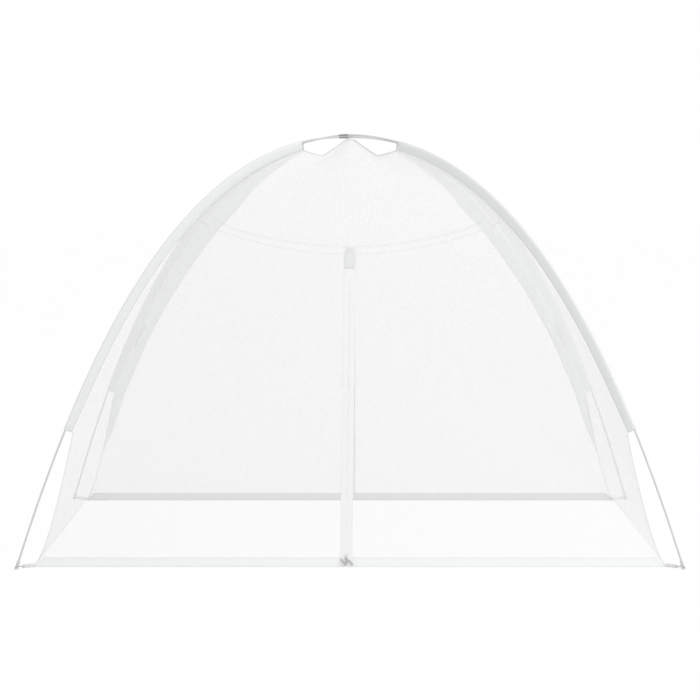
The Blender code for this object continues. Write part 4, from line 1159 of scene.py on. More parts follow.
class NETTENT_OT_sleeves(Operator):
    """Sew the pole sleeves, each with its hemmed ends, and beside each back sleeve the flange that lies on
    the net
    """

    bl_idname = "net_tent.sleeves"
    bl_label = "Sleeves"

    ROWS = 110
    AROUND = 22
    ROUND_SHARE = 0.42

    def execute(self, context):
        form = form_of(context)
        finish = context.scene.net_tent_finish
        cloths = {
            "front": woven("front_sleeve_polyester", finish.sleeve, lines=(0.0425,)),
            # The back sleeves use the same cloth, darkened as painted shade for their shaded side inside the
            # tent.
            "back": woven("back_sleeve_polyester_painted_shade", shade(finish.sleeve, 0.95), lines=(0.0335, 0.0425)),
        }
        # The ridge strip is the cloth colour lightened a little, as painted light on its shaded place inside
        # the tent.
        strip = woven("ridge_strip_cloth_painted_light", shade(finish.cloth, 1.03), lines=(0.053,), through=0.4,
                      open_share=0.5)
        for label, arch, at_end in legs(form):
            sleeve = self.make_tunnel(f"{label}_sleeve_cloth", form, arch, at_end)
            end = label.split("_")[0]
            finish_piece(sleeve, "frame", cloths[end], [f"sleeve_{label}"])
            if end == "back":
                flange = self.make_flange(f"{label}_ridge_strip", form, label)
                finish_piece(flange, "frame", strip)
        return {"FINISHED"}

    def make_tunnel(self, name, form, arch, at_end):
        """Drop-shaped rings round the pole, drawn in to the seam, slightly slack between its stitches."""
        mirror = -1 if at_end else 1
        rings = []
        places = form.sleeve_run(self.ROWS)
        for number, distance in enumerate(places):
            inside = min(distance - places[0], places[-1] - distance)
            open_share = eased(inside / SLEEVE_HEM)
            r, z, _, _ = arch.flat(distance)
            middle = arch.place(r * mirror, z)
            ridge_r, ridge_z = form.sewn_point(distance)
            seam = arch.place(-ridge_r * mirror, ridge_z)
            inward = (seam - middle).normalized()
            reach = (seam - middle).length + 0.0010
            slack = 1 + 0.10 * math.sin(number * 0.9) + 0.07 * math.sin(number * 2.3 + 1.1)
            radius = mixed(0.0037, 0.0053 * (1.0 + 0.03 * math.sin(number * 0.6)), open_share)
            rings.append(self.drop_ring(middle, inward, arch.across, radius, reach, slack * open_share))
        tunnel = loft(name, rings, capped=False, angle=60)
        thicken(tunnel, 0.0005, -1)
        return tunnel

    def drop_ring(self, middle, inward, across, radius, reach, slack):
        """One section: half round over the pole, then two layers of cloth that lie together at the seam."""
        points = []
        half = self.AROUND // 2
        for number in range(self.AROUND):
            side = 1 if number < half else -1
            share = (number + 0.5) / half if number < half else (self.AROUND - number - 0.5) / half
            if share < self.ROUND_SHARE:
                turn = math.pi * (1 - share / self.ROUND_SHARE * 0.5)
                points.append(middle + inward * (radius * math.cos(turn))
                              + across * (side * radius * math.sin(turn)))
            else:
                down = (share - self.ROUND_SHARE) / (1 - self.ROUND_SHARE)
                belly = radius * (1 - eased(down)) * (0.75 + 0.25 * slack) * min(1, 0.3 + slack) + 0.0007
                points.append(middle + inward * (reach * down) + across * (side * belly))
        return points

    def make_flange(self, name, form, label):
        """The flat strip that reinforces the back panel beside the seam, drawn to a point at its foot."""
        x_side, y_side = leg_sides(label)
        top = form.ridge[-1][1] - 0.001
        foot = FLANGE_WIDTHS[0][0]
        rows = self.ROWS
        columns = 4

        def point(column, row):
            height = mixed(foot, top, row / rows)
            r = form.ridge_r(height)
            step = 0.020
            low, high = form.ridge_r(height - step), form.ridge_r(height + step)
            seam = Vector((r * form.px, r * form.py, height))
            run = Vector(((high - low) * form.px, (high - low) * form.py, 2 * step)).normalized()
            inner = Vector(self.door_spot(form, r, height))
            out = run.cross(inner - seam).normalized()
            inwards = out.cross(run).normalized()
            if inwards.dot(inner - seam) < 0:
                inwards = -inwards
            facing = out if out.dot(Vector((1, 1, 0.3))) > 0 else -out
            width = self.flange_width(height) * column / columns
            place = seam + inwards * (width + 0.0006) + facing * 0.0009
            return Vector((place.x * x_side, place.y * y_side, place.z)), (0.05 + width, height * 1.4)

        strip = lay_sheet(name, columns, rows, point, Vector((x_side, y_side, 0.3)), merge=False)
        thicken(strip, 0.0005)
        return strip

    def flange_width(self, height):
        for (low, narrow), (high, wide) in zip(FLANGE_WIDTHS, FLANGE_WIDTHS[1:]):
            if height <= high:
                return mixed(narrow, wide, (height - low) / (high - low))
        return 0.0

    def door_spot(self, form, r, height):
        """A place on the end panel a little in from the ridge."""
        if height < SEAM_END:
            x = r * form.px - 0.03
            return x, form.wing_y(x, height), height
        return form.crown_point(r, height, 0.93)


class NETTENT_OT_side_nets(Operator):
    """Hang the side panels between the ridges, sagging a little, with a bound lower edge"""

    bl_idname = "net_tent.side_nets"
    bl_label = "Side Nets"

    def execute(self, context):
        form = form_of(context)
        sizes = context.scene.net_tent_sizes
        finish = context.scene.net_tent_finish
        mesh_look = netting(finish, sizes)
        bound = woven("binding_tape", finish.cloth, lines=(0.0035,), pitch=0.0006)
        heights = [mixed(NET_LIFT, form.ridge[-1][1], number / 60) for number in range(61)]
        spots = [(form.ridge_r(height), height, 0) for height in heights]
        spots += [(r, z, 1) for r, z in form.crown[1:]]
        for side, x_side in SIDES:
            columns = 20

            def point(column, row):
                r, z, over = spots[row]
                share = 2 * column / columns - 1
                x, y, height = form.side_point(r, z, over, share)
                return Vector((x * x_side, y, height)), (y, run_up(spots, row))

            net = lay_sheet(f"{side}_side_net", columns, len(spots) - 1, point, Vector((x_side, 0, 0.4)))
            finish_piece(net, "frame", mesh_look, [f"side_net_{side}"])

            def edge(column, row):
                r = spots[0][0]
                share = 2 * column / 40 - 1
                height = NET_LIFT + 0.007 * row
                x = form.ridge_r(height) * form.px + 0.0009
                return Vector((x * x_side, r * form.py * share, height)), (height, r * form.py * share)

            binding = lay_sheet(f"{side}_side_binding", 40, 1, edge, Vector((x_side, 0, 0)), thickness=0.0010)
            finish_piece(binding, "frame", bound)
        return {"FINISHED"}


class NETTENT_OT_end_nets(Operator):
    """Hang the fixed net of both end panels: the wings beside the doors and the vault above the seam"""

    bl_idname = "net_tent.end_nets"
    bl_label = "End Nets"

    def execute(self, context):
        form = form_of(context)
        sizes = context.scene.net_tent_sizes
        look = netting(context.scene.net_tent_finish, sizes)
        for end, y_side in ENDS:
            parts = [self.make_wing(f"{end}_{side}_wing", form, x_side, y_side) for side, x_side in SIDES]
            parts.append(self.make_vault(f"{end}_vault", form, y_side))
            net = join(parts, f"{end}_fixed_net")
            merge_points(net, 2e-5)
            face_outwards(net, Vector((0, y_side, 0.4)))
            smooth(net, 60)
            finish_piece(net, "frame", look, [f"{end}_net_upper"])
        return {"FINISHED"}

    def make_wing(self, name, form, x_side, y_side):
        lows = [mixed(NET_LIFT, form.zip_top_z, number / 44) for number in range(44)]
        middles = [mixed(form.zip_top_z, SEAM_HEIGHT, number / 4) for number in range(4)]
        highs = [SEAM_HEIGHT + SEAM_END_RISE * (number / 12) ** 2 for number in range(13)]
        heights = lows + middles + highs
        columns = 10
        seam_x = form.seam_r * form.px - RIDGE_INSET

        def point(column, row):
            height = heights[row]
            outer = form.ridge_r(height) * form.px - RIDGE_INSET
            if height < SEAM_HEIGHT:
                inner = form.fold_x(height)
            else:
                inner = seam_x * math.sqrt((height - SEAM_HEIGHT) / SEAM_END_RISE)
            x = mixed(inner, outer, column / columns)
            if height < SEAM_HEIGHT:
                y = form.wing_y(x, height)
            else:
                bend = (height - SEAM_HEIGHT) / SEAM_END_RISE
                seam_y = form.door_y(SEAM_HEIGHT) - form.bulge * bend
                beyond = (x * x - inner * inner) / max(1e-9, outer * outer - inner * inner)
                y = mixed(seam_y, form.ridge_r(height) * form.py, beyond)
            return Vector((x * x_side, y * y_side, height)), (x * x_side, height / math.cos(form.lean))

        return lay_sheet(name, columns, len(heights) - 1, point, Vector((0, y_side, 0.3)))

    def make_vault(self, name, form, y_side):
        rows = form.crown_rows(24)
        half = 12

        def point(column, row):
            r, z = rows[row]
            share = column / half - 1
            x, y, height = form.crown_point(r, z, abs(share))
            side = 1 if share >= 0 else -1
            return Vector((x * side, y * y_side, height)), (x * side, 0.963 + run_up(rows, row) * 0.75)

        return lay_sheet(name, 2 * half, len(rows) - 1, point, Vector((0, y_side, 1)))


class NETTENT_OT_doors(Operator):
    """Hang the door flaps with their hems, zip tapes and coils"""

    bl_idname = "net_tent.doors"
    bl_label = "Doors"

    def execute(self, context):
        form = form_of(context)
        sizes = context.scene.net_tent_sizes
        finish = context.scene.net_tent_finish
        net_look = netting(finish, sizes)
        coil_look = nylon(finish)
        for end, y_side in ENDS:
            front = end == "front"
            # The back tape's edge is painted much darker than the front's: painted shade, as it is seen from
            # inside the tent.
            tape_look = zip_tape(f"{end}_zip_tape_herringbone", finish, 0.96 if front else 0.72)
            # The back hems are the same cloth darkened, as painted shade on the inner face of the back door.
            hem_look = woven(f"{end}_hem_polyester", finish.cloth if front else shade(finish.cloth, 0.925),
                             lines=(HEM_STITCH_INSET, sizes.hem_height - HEM_STITCH_INSET))
            for side, x_side in SIDES:
                flap = Flap(form, end, y_side, x_side)
                body = f"{end}_{side}_flap"
                net = self.make_net(f"{end}_{side}_door_net", flap)
                hem = self.make_hem(f"{end}_{side}_door_hem", flap)
                tape = self.make_tape(f"{end}_{side}_tape", flap)
                coil = self.make_coil(f"{end}_{side}_coil", flap)
                finish_piece(net, body, net_look, [f"{end}_net_{side}_flap"])
                finish_piece(hem, body, hem_look, [f"{end}_hem_{side}"])
                finish_piece(tape, body, tape_look, [f"{end}_zip_tape_{side}"])
                finish_piece(coil, body, coil_look)
                if side == "left":
                    guard = self.make_guard(f"{end}_zip_guard", flap)
                    finish_piece(guard, body, hem_look)
                tip = self.make_tape_end(f"{end}_{side}_tape_end", flap)
                finish_piece(tip, "frame", tape_look)
        return {"FINISHED"}

    def make_net(self, name, flap):
        """The net of one flap, from the hem to the fold line and from the fold line to the tape."""
        columns = 24
        rows = 30
        low = flap.sizes.hem_height - 0.001
        edge = flap.sizes.tape_width - 0.002
        top = flap.form.zip_top * (1 - edge / flap.form.corner_x)

        def point(column, row):
            up = mixed(low, top, row / rows)
            x = mixed(edge, flap.fold(up), column / columns)
            return flap.spot(x, up), (x * flap.side, up)

        return lay_sheet(name, columns, rows, point, flap.outwards)

    def make_hem(self, name, flap):
        """The hem: cloth folded over the net's edge, with a slight ripple along it."""
        columns = 90
        rows = 8
        end = flap.form.corner_x - 0.004

        def point(column, row):
            x = mixed(FOOT_GAP, end, column / columns)
            up = mixed(NET_LIFT, flap.sizes.hem_height, row / rows)
            out = 0.0004 * math.sin(x * 61) * math.sin(x * 23 + 1)
            return flap.spot(min(x, flap.fold(up)), up, out), (up, x)

        hem = lay_sheet(name, columns, rows, point, flap.outwards, merge=False)
        return self.rounded(hem, 0.0013, 0.0004)

    def make_tape(self, name, flap):
        """One half of the zip's tape, from the ground to the patch, sewn over the net and the hem."""
        low = 0.0015
        top = flap.form.zip_top - 0.0005
        columns = 6
        rows = 120

        def point(column, row):
            up = mixed(low, top, row / rows)
            inner = TAPE_EDGE if up > SLIDER_PARK + SLIDER_LENGTH - 0.002 else FOOT_GAP
            limit = max(inner, flap.fold(up) - 0.0003)
            x = min(mixed(inner, flap.sizes.tape_width, column / columns), limit)
            over_hem = 1 - eased((up - flap.sizes.hem_height - 0.001) / 0.003)
            return flap.spot(x, up, 0.0006 + 0.0009 * over_hem), (x, up)

        return self.rounded(lay_sheet(name, columns, rows, point, flap.outwards, merge=False), 0.0009)

    def make_guard(self, name, flap):
        """The cloth guard across the zip's foot, sewn to one half and lying against the other."""

        def point(column, row):
            x = mixed(0.0085, -0.0058, column / 8)
            up = mixed(0.0018, SLIDER_PARK - 0.0016, row / 8)
            return flap.spot(x, up, -0.0001), (up + 0.006, x + 0.006)

        return self.rounded(lay_sheet(name, 8, 8, point, flap.outwards, merge=False), 0.0009)

    def rounded(self, piece, thickness, bevel=0.0):
        """Give a laid sheet its thickness, and round its edges where it is thick enough to show."""
        thicken(piece, thickness)
        if bevel:
            round_edges(piece, bevel)
        smooth(piece, 50)
        return piece

    def make_tape_end(self, name, flap):
        """The end of the tape on the fixed net, beyond the line that the door folds along."""
        width = flap.sizes.tape_width
        low = flap.form.zip_top * (1 - width / flap.form.corner_x) - 0.0004

        def point(column, row):
            up = mixed(low, flap.form.zip_top + 0.004, row / 12)
            fold = max(0.0, flap.fold(up)) + 0.0006
            x = mixed(min(fold, width), width, column / 6)
            return flap.place @ Vector((flap.side * x, up, 0.0008)), (x, up)

        return lay_sheet(name, 6, 12, point, flap.outwards, merge=False)

    def make_coil(self, name, flap):
        """One half of the nylon coil, wound along the tape's edge; the halves mesh half a turn apart."""
        start = SLIDER_PARK + SLIDER_LENGTH + 0.001
        turns = int((flap.form.zip_top - 0.004 - start) / COIL_PITCH)
        middle = (COIL_INNER + COIL_OUTER) / 2
        half = (COIL_OUTER - COIL_INNER) / 2
        shift = 0.5 * COIL_PITCH if flap.side > 0 else 0.0
        per_turn = 8
        path = []
        for number in range(turns * per_turn + 1):
            turn = 2 * math.pi * number / per_turn
            up = start + shift + COIL_PITCH * number / per_turn
            x = middle - half * math.cos(turn)
            out = COIL_BACK + COIL_HALF_HEIGHT * math.sin(turn)
            across = flap.side * x + flap.drift * max(0.0, 1 - up / flap.form.zip_top)
            path.append(flap.place @ Vector((across, up, out)))
        return loft(name, cord_rings(path, COIL_WIRE, 4), angle=80)


class NETTENT_OT_seams(Operator):
    """Sew the band along each arched seam and the patch over each zip's top"""

    bl_idname = "net_tent.seams"
    bl_label = "Seam Bands"

    def execute(self, context):
        form = form_of(context)
        sizes = context.scene.net_tent_sizes
        finish = context.scene.net_tent_finish
        net_look = self.band_look(finish)
        hem_lines = (0.0025, sizes.patch_width - 0.0025)
        # Both patches are the hems' cloth darkened, as painted shade: the front one more, standing in for the
        # darker overlap of the two patches.
        patch_looks = {
            "front": woven("front_patch_polyester_painted_shade", shade(finish.cloth, 0.87), lines=hem_lines, pitch=0.0006),
            "back": woven("back_patch_polyester_painted_shade", shade(finish.cloth, 0.97), lines=hem_lines, pitch=0.0006,
                          through=0.5, open_share=0.45),
        }
        for end, y_side in ENDS:
            band = self.make_band(f"{end}_seam_strip", form, y_side)
            finish_piece(band, "frame", net_look, [f"{end}_seam_band"])
            patch = self.make_patch(f"{end}_top_patch", form, sizes, y_side, 0.0 if end == "front" else 0.014)
            finish_piece(patch, "frame", patch_looks[end], [f"{end}_zip_patch"])
        return {"FINISHED"}

    def band_look(self, finish):
        """Doubled netting with a sewn fold along both edges."""
        made, tree, shader = new_material("seam_band_net", 0.8)
        if tree is None:
            return made
        across, along = uv_parts(tree)
        edge = ramp(tree, math_node(tree, "ABSOLUTE", across), 0.50, 0.30)
        thread = ramp(tree, wave(tree, along, STITCH_PITCH), -0.5, 0.2, 0.6, 1.0)
        stitches = math_node(tree, "MULTIPLY", edge, thread)
        tree.links.new(tint(tree, stitches, finish.netting, shade(finish.netting, 0.82)),
                       shader.inputs["Base Color"])
        tree.links.new(ramp(tree, edge, 0.0, 1.0, 0.08, 0.42), shader.inputs["Alpha"])
        tree.links.new(bump(tree, stitches, 0.0004, 0.5), shader.inputs["Normal"])
        return made

    def make_band(self, name, form, y_side):
        columns = 96
        rows = 6

        def point(column, row):
            share = (2 * column / columns - 1) * 0.985
            level = row / rows
            height = mixed(SEAM_END, SEAM_END + SEAM_BAND_END_WIDTH, level)
            r = form.ridge_r(height)
            x, y, z = form.crown_point(r, height, abs(share))
            side = 1 if share >= 0 else -1
            low = 0.008 if y_side < 0 else 0.012 + 0.008 * share * share
            low *= min(1.0, (1 - abs(share)) / 0.1)
            y += low * math.tan(form.lean)
            return Vector((x * side, (y + 0.0012) * y_side, z - low)), (2 * level - 1, x * side)

        return lay_sheet(name, columns, rows, point, Vector((0, y_side, 0.5)), merge=False)

    def make_patch(self, name, form, sizes, y_side, cut):
        """The patch over the zip's top, laid on the door and on the crease of the seam above it."""
        top = SEAM_HEIGHT + 0.003 - cut

        def point(column, row):
            x = mixed(-sizes.patch_width / 2, sizes.patch_width / 2, column / 6)
            height = mixed(form.zip_top_z, top, row / 12)
            y = form.wing_y(abs(x), min(height, SEAM_HEIGHT))
            spot = Vector((x, (y + 0.0022) * y_side, height + 0.0006))
            return spot, (x + sizes.patch_width / 2, height)

        patch = lay_sheet(name, 6, 12, point, Vector((0, y_side, 0.3)), merge=False)
        thicken(patch, 0.0010)
        round_edges(patch, 0.0003)
        smooth(patch, 50)
        return patch


class NETTENT_OT_sliders(Operator):
    """Cast the zip sliders and stamp their pulls"""

    bl_idname = "net_tent.sliders"
    bl_label = "Sliders"

    def execute(self, context):
        form = form_of(context)
        finish = context.scene.net_tent_finish
        metal = worn_metal("slider_metal", finish.metal, 0.36)
        enamel = enamelled(finish)
        ribbon = braided("pull_ribbon_weave", shade(finish.cord, 0.80), pitch=0.0012)
        for end, y_side in ENDS:
            place = form.door_frame(y_side, drift_of(end))
            slider = self.make_slider(f"{end}_slider_body", place, enamel, metal)
            finish_piece(slider, f"{end}_slider", None, [f"{end}_zip_slider"])
            for face, out in (("outer", 1), ("inner", -1)):
                pull = self.make_pull(f"{end}_{face}_tab", form, place, y_side, out)
                finish_piece(pull, f"{end}_{face}_pull", enamel, [f"{end}_pull_{face}"])
            if end == "front":
                tails = self.make_ribbon(f"{end}_pull_ribbon", place)
                finish_piece(tails, f"{end}_slider", ribbon)
        return {"FINISHED"}

    def make_ribbon(self, name, place):
        """A short ribbon tied under the slider's bridge, over the pull, with a tail to each side."""
        stations = [(-0.0165, 0.0232, 0.0064), (-0.0120, 0.0196, 0.0078), (-0.0070, 0.0140, 0.0082),
                    (-0.0030, 0.0084, 0.0074), (-0.0008, 0.0072, 0.0070), (0.0002, 0.0105, 0.0084),
                    (0.0012, 0.0165, 0.0092), (0.0034, 0.0208, 0.0094), (0.0080, 0.0196, 0.0090),
                    (0.0128, 0.0148, 0.0084), (0.0170, 0.0098, 0.0076), (0.0200, 0.0058, 0.0066)]
        face = place.to_3x3() @ Vector((0, 0, 1))
        rings = []
        for number, spot in enumerate(stations):
            ahead = Vector(stations[min(number + 1, len(stations) - 1)])
            back = Vector(stations[max(number - 1, 0)])
            run = (place.to_3x3() @ (ahead - back)).normalized()
            aside = run.cross(face).normalized()
            lift = aside.cross(run).normalized()
            wide = 0.0018 if number in (4, 5) else 0.0029
            rings.append(strap_ring(place @ Vector(spot), aside * wide, lift * 0.0004, 0.8, 0.6))
        return loft(name, rings, angle=50)

    def make_slider(self, name, place, enamel, metal):
        """Two shield-shaped plates with side lips and a post, and a bridge on each face."""
        length = SLIDER_LENGTH
        foot = SLIDER_PARK
        wide = 0.0057
        nose = 0.0040
        shield = mirrored([(wide - 0.0010, 0), (wide, 0.0010), (wide, length * 0.50),
                           (wide - 0.0004, length * 0.66), (nose + 0.0004, length * 0.86),
                           (nose - 0.0010, length)])
        parts = []
        bridges = []
        for face in (1, -1):
            lift = place @ Matrix.Translation((0, foot, face * 0.0025))
            parts.append(slab(f"{name}_plate", shield, 0.0012, lift, bevel=0.0004))
            for side in (1, -1):
                lip = [(side * (wide - 0.0011), 0.0006), (side * wide, 0.0006), (side * wide, length * 0.52),
                       (side * (wide - 0.0011), length * 0.60)]
                if side < 0:
                    lip.reverse()
                low = place @ Matrix.Translation((0, foot, face * 0.0017))
                parts.append(slab(f"{name}_lip", lip, 0.0012, low, bevel=0.0002))
            bridges.append(self.make_bridge(f"{name}_bridge", place, foot + BRIDGE_FROM_FOOT, face))
        post = mirrored([(0.0005, length * 0.72), (0.0005, length * 0.96)])
        middle = place @ Matrix.Translation((0, foot, 0))
        parts.append(slab(f"{name}_post", post, 0.0044, middle, bevel=0.0002))
        for part in parts:
            part.data.materials.append(enamel)
        for part in bridges:
            part.data.materials.append(metal)
        return join(parts + bridges, name)

    def make_bridge(self, name, place, middle, face):
        """A bent strip that stands on a plate and holds the pull's bar."""
        path = []
        base = 0.0028
        crown = 0.0069
        half = 0.0040
        for number in range(25):
            turn = math.pi * number / 24
            along = -half * math.cos(turn)
            lift = mixed(base, crown, min(1.0, 1.25 * math.sin(turn)) ** 0.7)
            path.append(place @ Vector((0, middle + along, face * lift)))
        rings = []
        side = place.to_3x3() @ Vector((1, 0, 0))
        for number, spot in enumerate(path):
            ahead = path[min(number + 1, len(path) - 1)]
            back = path[max(number - 1, 0)]
            run = (ahead - back).normalized()
            up = side.cross(run)
            rings.append(strap_ring(spot, side * 0.0010, up * 0.00055, 0.7, 0.4 / 0.55))
        return loft(name, rings, angle=50)

    def make_pull(self, name, form, place, y_side, face):
        """A stamped tab: a window for the bridge, a slimmer waist and a rounded foot."""
        pin_up = SLIDER_PARK + BRIDGE_FROM_FOOT - 0.0045 + 0.0011 + 0.0014
        pin = place @ Vector((0, pin_up, face * 0.0052))
        turn = Matrix.Identity(3) if face > 0 else Matrix.Rotation(-form.lean * y_side, 3, "X")
        stand = (turn @ place.to_3x3()).to_4x4()
        stand.translation = pin
        end = -0.0195
        outline = [(-0.0037, -0.0064), (-0.0030, -0.0086), (-0.0031, -0.0120), (-0.0037, -0.0150),
                   (-0.0034, -0.0178), (-0.0018, end), (0.0018, end), (0.0034, -0.0178), (0.0037, -0.0150),
                   (0.0031, -0.0120), (0.0030, -0.0086), (0.0037, -0.0064), (0.0037, 0.0000),
                   (0.0030, 0.0007), (-0.0030, 0.0007), (-0.0037, 0.0000)]
        window = mirrored([(0.0024, -0.0066), (0.0025, -0.0060), (0.0025, -0.0007)])
        return slab(name, outline, 0.0011, stand, bevel=0.00025, hole=window)


class NETTENT_OT_corners(Operator):
    """Sew the corner tabs and hook their elastic loops round the feet"""

    bl_idname = "net_tent.corners"
    bl_label = "Corner Fixings"

    def execute(self, context):
        form = form_of(context)
        finish = context.scene.net_tent_finish
        strap = webbing(finish)
        elastic = braided("elastic_braid", finish.cord)
        metal = worn_metal("eyelet_metal", shade(finish.metal, 0.6), 0.40)
        for label, arch, at_end in legs(form):
            x_side, y_side = leg_sides(label)
            tab, eyelet, eye = self.make_tab(f"{label}_tab", form, x_side, y_side)
            finish_piece(tab, "frame", strap, [f"corner_tab_{label}"])
            finish_piece(eyelet, "frame", metal)
            loop = self.make_loop(f"{label}_loop", arch, at_end, eye)
            finish_piece(loop, "frame", elastic, [f"corner_loop_{label}"])
        return {"FINISHED"}

    def make_tab(self, name, form, x_side, y_side):
        outwards = form.corner_spot(1, 0, x_side, y_side)
        up = Vector((0, 0, 1))
        place = Matrix((outwards, up, outwards.cross(up))).transposed().to_4x4()
        start = form.corner_r - 0.004
        end = form.corner_r + 0.0352
        low = NET_LIFT
        high = low + 0.011
        eye = (end - 0.0055, (low + high) / 2)
        radius = 0.0055
        strap = [(start, low), (eye[0], low)]
        strap += [(eye[0] + radius * math.cos(turn), eye[1] + radius * math.sin(turn))
                  for turn in (math.radians(angle) for angle in range(-75, 90, 15))]
        strap += [(eye[0], high), (start, high)]
        hole = [(eye[0] + 0.0028 * math.cos(turn), eye[1] + 0.0028 * math.sin(turn))
                for turn in (2 * math.pi * number / 20 for number in range(20))]
        tab = slab(name, strap, 0.0016, place, bevel=0.0004, hole=hole)
        middle = place @ Vector((*eye, 0))
        across = place.to_3x3() @ Vector((0, 0, 1))
        rings = []
        for number in range(28):
            turn = 2 * math.pi * number / 28
            out = outwards * math.cos(turn) + up * math.sin(turn)
            centre = middle + out * 0.0036
            rings.append(circle(centre, out, across, 0.0009, 8))
        eyelet = closed_ring(f"{name}_eyelet", rings)
        return tab, eyelet, middle

    def make_loop(self, name, arch, at_end, eye):
        """The elastic, doubled from the eyelet round the neck of the foot."""
        foot, up, _, _ = foot_axes(arch, at_end)
        neck = foot + up * 0.0083
        inward = Vector((eye.x - neck.x, eye.y - neck.y, 0))
        reach = inward.length
        inward.normalize()
        across = Vector((-inward.y, inward.x, 0))
        round_neck = 0.0042 + CLEARANCE + 0.0013
        near = 0.0031
        path = []
        for number in range(15):
            turn = math.pi * (0.5 + number / 14)
            path.append((round_neck * math.cos(turn), round_neck * math.sin(turn)))
        stop = reach - near
        for number in range(1, 6):
            share = number / 6
            path.append((mixed(0, stop, share), -mixed(round_neck, near, eased(share))))
        for number in range(11):
            turn = math.pi * (-0.5 + number / 10)
            path.append((stop + near * math.cos(turn), near * math.sin(turn)))
        for number in range(5, 0, -1):
            share = number / 6
            path.append((mixed(0, stop, share), mixed(round_neck, near, eased(share))))
        spots = []
        for along, aside in path:
            share = within(along / reach)
            spot = Vector((neck.x, neck.y, mixed(neck.z, eye.z, share)))
            spots.append(spot + inward * along + across * aside)
        return closed_ring(name, cord_rings(spots, 0.00125, 12, closed=True))


class NETTENT_OT_tie_backs(Operator):
    """Sew the tie-backs on the back ridges"""

    bl_idname = "net_tent.tie_backs"
    bl_label = "Tie-backs"

    def execute(self, context):
        form = form_of(context)
        elastic = braided("tie_braid", shade(context.scene.net_tent_finish.cord, 0.35), pitch=0.0012)
        top = 0.645
        length = 0.095
        for side, x_side in SIDES:
            rings = []
            for number in range(41):
                height = top - 0.85 * length * number / 40
                r = form.ridge_r(height)
                inset = 0.0058 + 0.0006 * math.sin(number * 0.5)
                middle = form.corner_spot(r - inset, height, x_side, 1)
                outwards = form.corner_spot(1, 0, x_side, 1)
                across = Vector((-outwards.y, outwards.x, 0))
                rings.append(strap_ring(middle, outwards * 0.0024, across * 0.0005, 0.8, 0.5))
            ribbon = loft(f"{side}_tie_ribbon", rings)
            toggle = self.make_toggle(f"{side}_toggle", form, x_side, top)
            tie = join([ribbon, toggle], f"{side}_tie_strap")
            finish_piece(tie, "frame", elastic, [f"tie_back_{side}"])
        return {"FINISHED"}

    def make_toggle(self, name, form, x_side, top):
        """A small barrel across the ribbon's upper end."""
        height = top - 0.0025
        r = form.ridge_r(height) - 0.0068
        middle = form.corner_spot(r, height, x_side, 1)
        outwards = form.corner_spot(1, 0, x_side, 1)
        across = Vector((-outwards.y, outwards.x, 0))
        rings = []
        for number in range(15):
            share = number / 14
            swell = math.sin(math.pi * mixed(0.12, 0.88, share)) ** 0.35
            rings.append(circle(middle + outwards * ((share - 0.5) * 0.0066), across, Vector((0, 0, 1)),
                                0.0021 * swell, 16))
        return loft(name, rings)


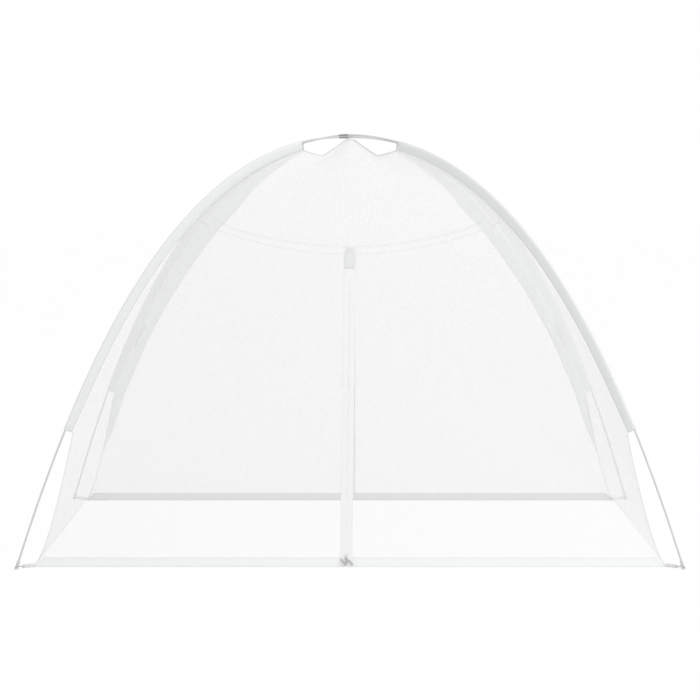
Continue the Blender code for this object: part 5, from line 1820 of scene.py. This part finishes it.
class NETTENT_OT_peak(Operator):
    """Tie the net's peak to the crossing and bind its open edges"""

    bl_idname = "net_tent.peak"
    bl_label = "Peak"

    def execute(self, context):
        form = form_of(context)
        finish = context.scene.net_tent_finish
        tape = woven("peak_cloth", finish.cloth, pitch=0.0006)
        cord = braided("peak_cord_braid", finish.webbing, pitch=0.0014)
        patch_top = form.lower_rise - PEAK_DROP + 0.0025

        def point(column, row):
            x = (column / 12 - 0.5) * 0.024
            y = (row / 12 - 0.5) * 0.024
            droop = 0.0030 * (abs(x) ** 2 + abs(y) ** 2) / (0.012 ** 2)
            return Vector((x, y, patch_top - droop)), (x, y)

        patch = lay_sheet("peak_patch", 12, 12, point, Vector((0, 0, 1)), thickness=0.0009)
        finish_piece(patch, "frame", tape, ["peak_tie"])
        top = form.sizes.height - 0.0014
        low = patch_top - 0.0002
        path = []
        half = 0.0060
        for number in range(40):
            turn = 2 * math.pi * number / 40
            y = half * math.copysign(abs(math.sin(turn)) ** 0.7, math.sin(turn))
            z = mixed(low, top, 0.5 + 0.5 * math.copysign(abs(math.cos(turn)) ** 0.8, math.cos(turn)))
            path.append(Vector((0, y, z)))
        ring = closed_ring("peak_cord", cord_rings(path, 0.0012, 10, closed=True))
        finish_piece(ring, "frame", cord)
        bound = woven("edge_binding_cloth", shade(finish.cloth, 0.84), pitch=0.0006)
        seamed = woven("edge_seam_cloth", shade(finish.cloth, 0.90), pitch=0.0006)
        arms, corners = [], []
        for _, x_side in SIDES:
            for _, y_side in ENDS:
                spots = [form.corner_spot(r, z, x_side, y_side) for r, z in form.crown]
                arms.append(loft("edge", cord_rings(spots, 0.0019, 8), angle=80))
                spots = [form.corner_spot(r, z, x_side, y_side) for r, z in form.ridge[:41:2]]
                corners.append(loft("edge", cord_rings(spots, 0.0013, 8), angle=80))
        finish_piece(join(arms, "crown_bindings"), "frame", bound)
        finish_piece(join(corners, "corner_seams"), "frame", seamed)
        return {"FINISHED"}


class NETTENT_PT_panel(Panel):
    """Sizes, colours and pieces of the net tent"""

    bl_idname = "NETTENT_PT_panel"
    bl_label = "Mosquito Net Tent"
    bl_space_type = "VIEW_3D"
    bl_region_type = "UI"
    bl_category = "Net Tent"

    def draw(self, context):
        layout = self.layout
        for group in (context.scene.net_tent_sizes, context.scene.net_tent_finish):
            column = layout.column(align=True)
            for name in group.bl_rna.properties.keys():
                if name not in {"rna_type", "name"}:
                    column.prop(group, name)
        for operator in OPERATORS:
            layout.operator(operator.bl_idname)


OPERATORS = (
    NETTENT_OT_stage,
    NETTENT_OT_poles,
    NETTENT_OT_feet,
    NETTENT_OT_sleeves,
    NETTENT_OT_side_nets,
    NETTENT_OT_end_nets,
    NETTENT_OT_doors,
    NETTENT_OT_seams,
    NETTENT_OT_sliders,
    NETTENT_OT_corners,
    NETTENT_OT_tie_backs,
    NETTENT_OT_peak,
)
CLASSES = (TentSizes, TentFinish, *OPERATORS, NETTENT_PT_panel)


def register():
    for made in CLASSES:
        bpy.utils.register_class(made)
    bpy.types.Scene.net_tent_sizes = PointerProperty(type=TentSizes)
    bpy.types.Scene.net_tent_finish = PointerProperty(type=TentFinish)


def unregister():
    del bpy.types.Scene.net_tent_finish
    del bpy.types.Scene.net_tent_sizes
    for made in reversed(CLASSES):
        bpy.utils.unregister_class(made)


def main():
    register()
    deselect()
    for operator in OPERATORS:
        group, name = operator.bl_idname.split(".")
        getattr(getattr(bpy.ops, group), name)()
    deselect()


if __name__ == "__main__":
    main()
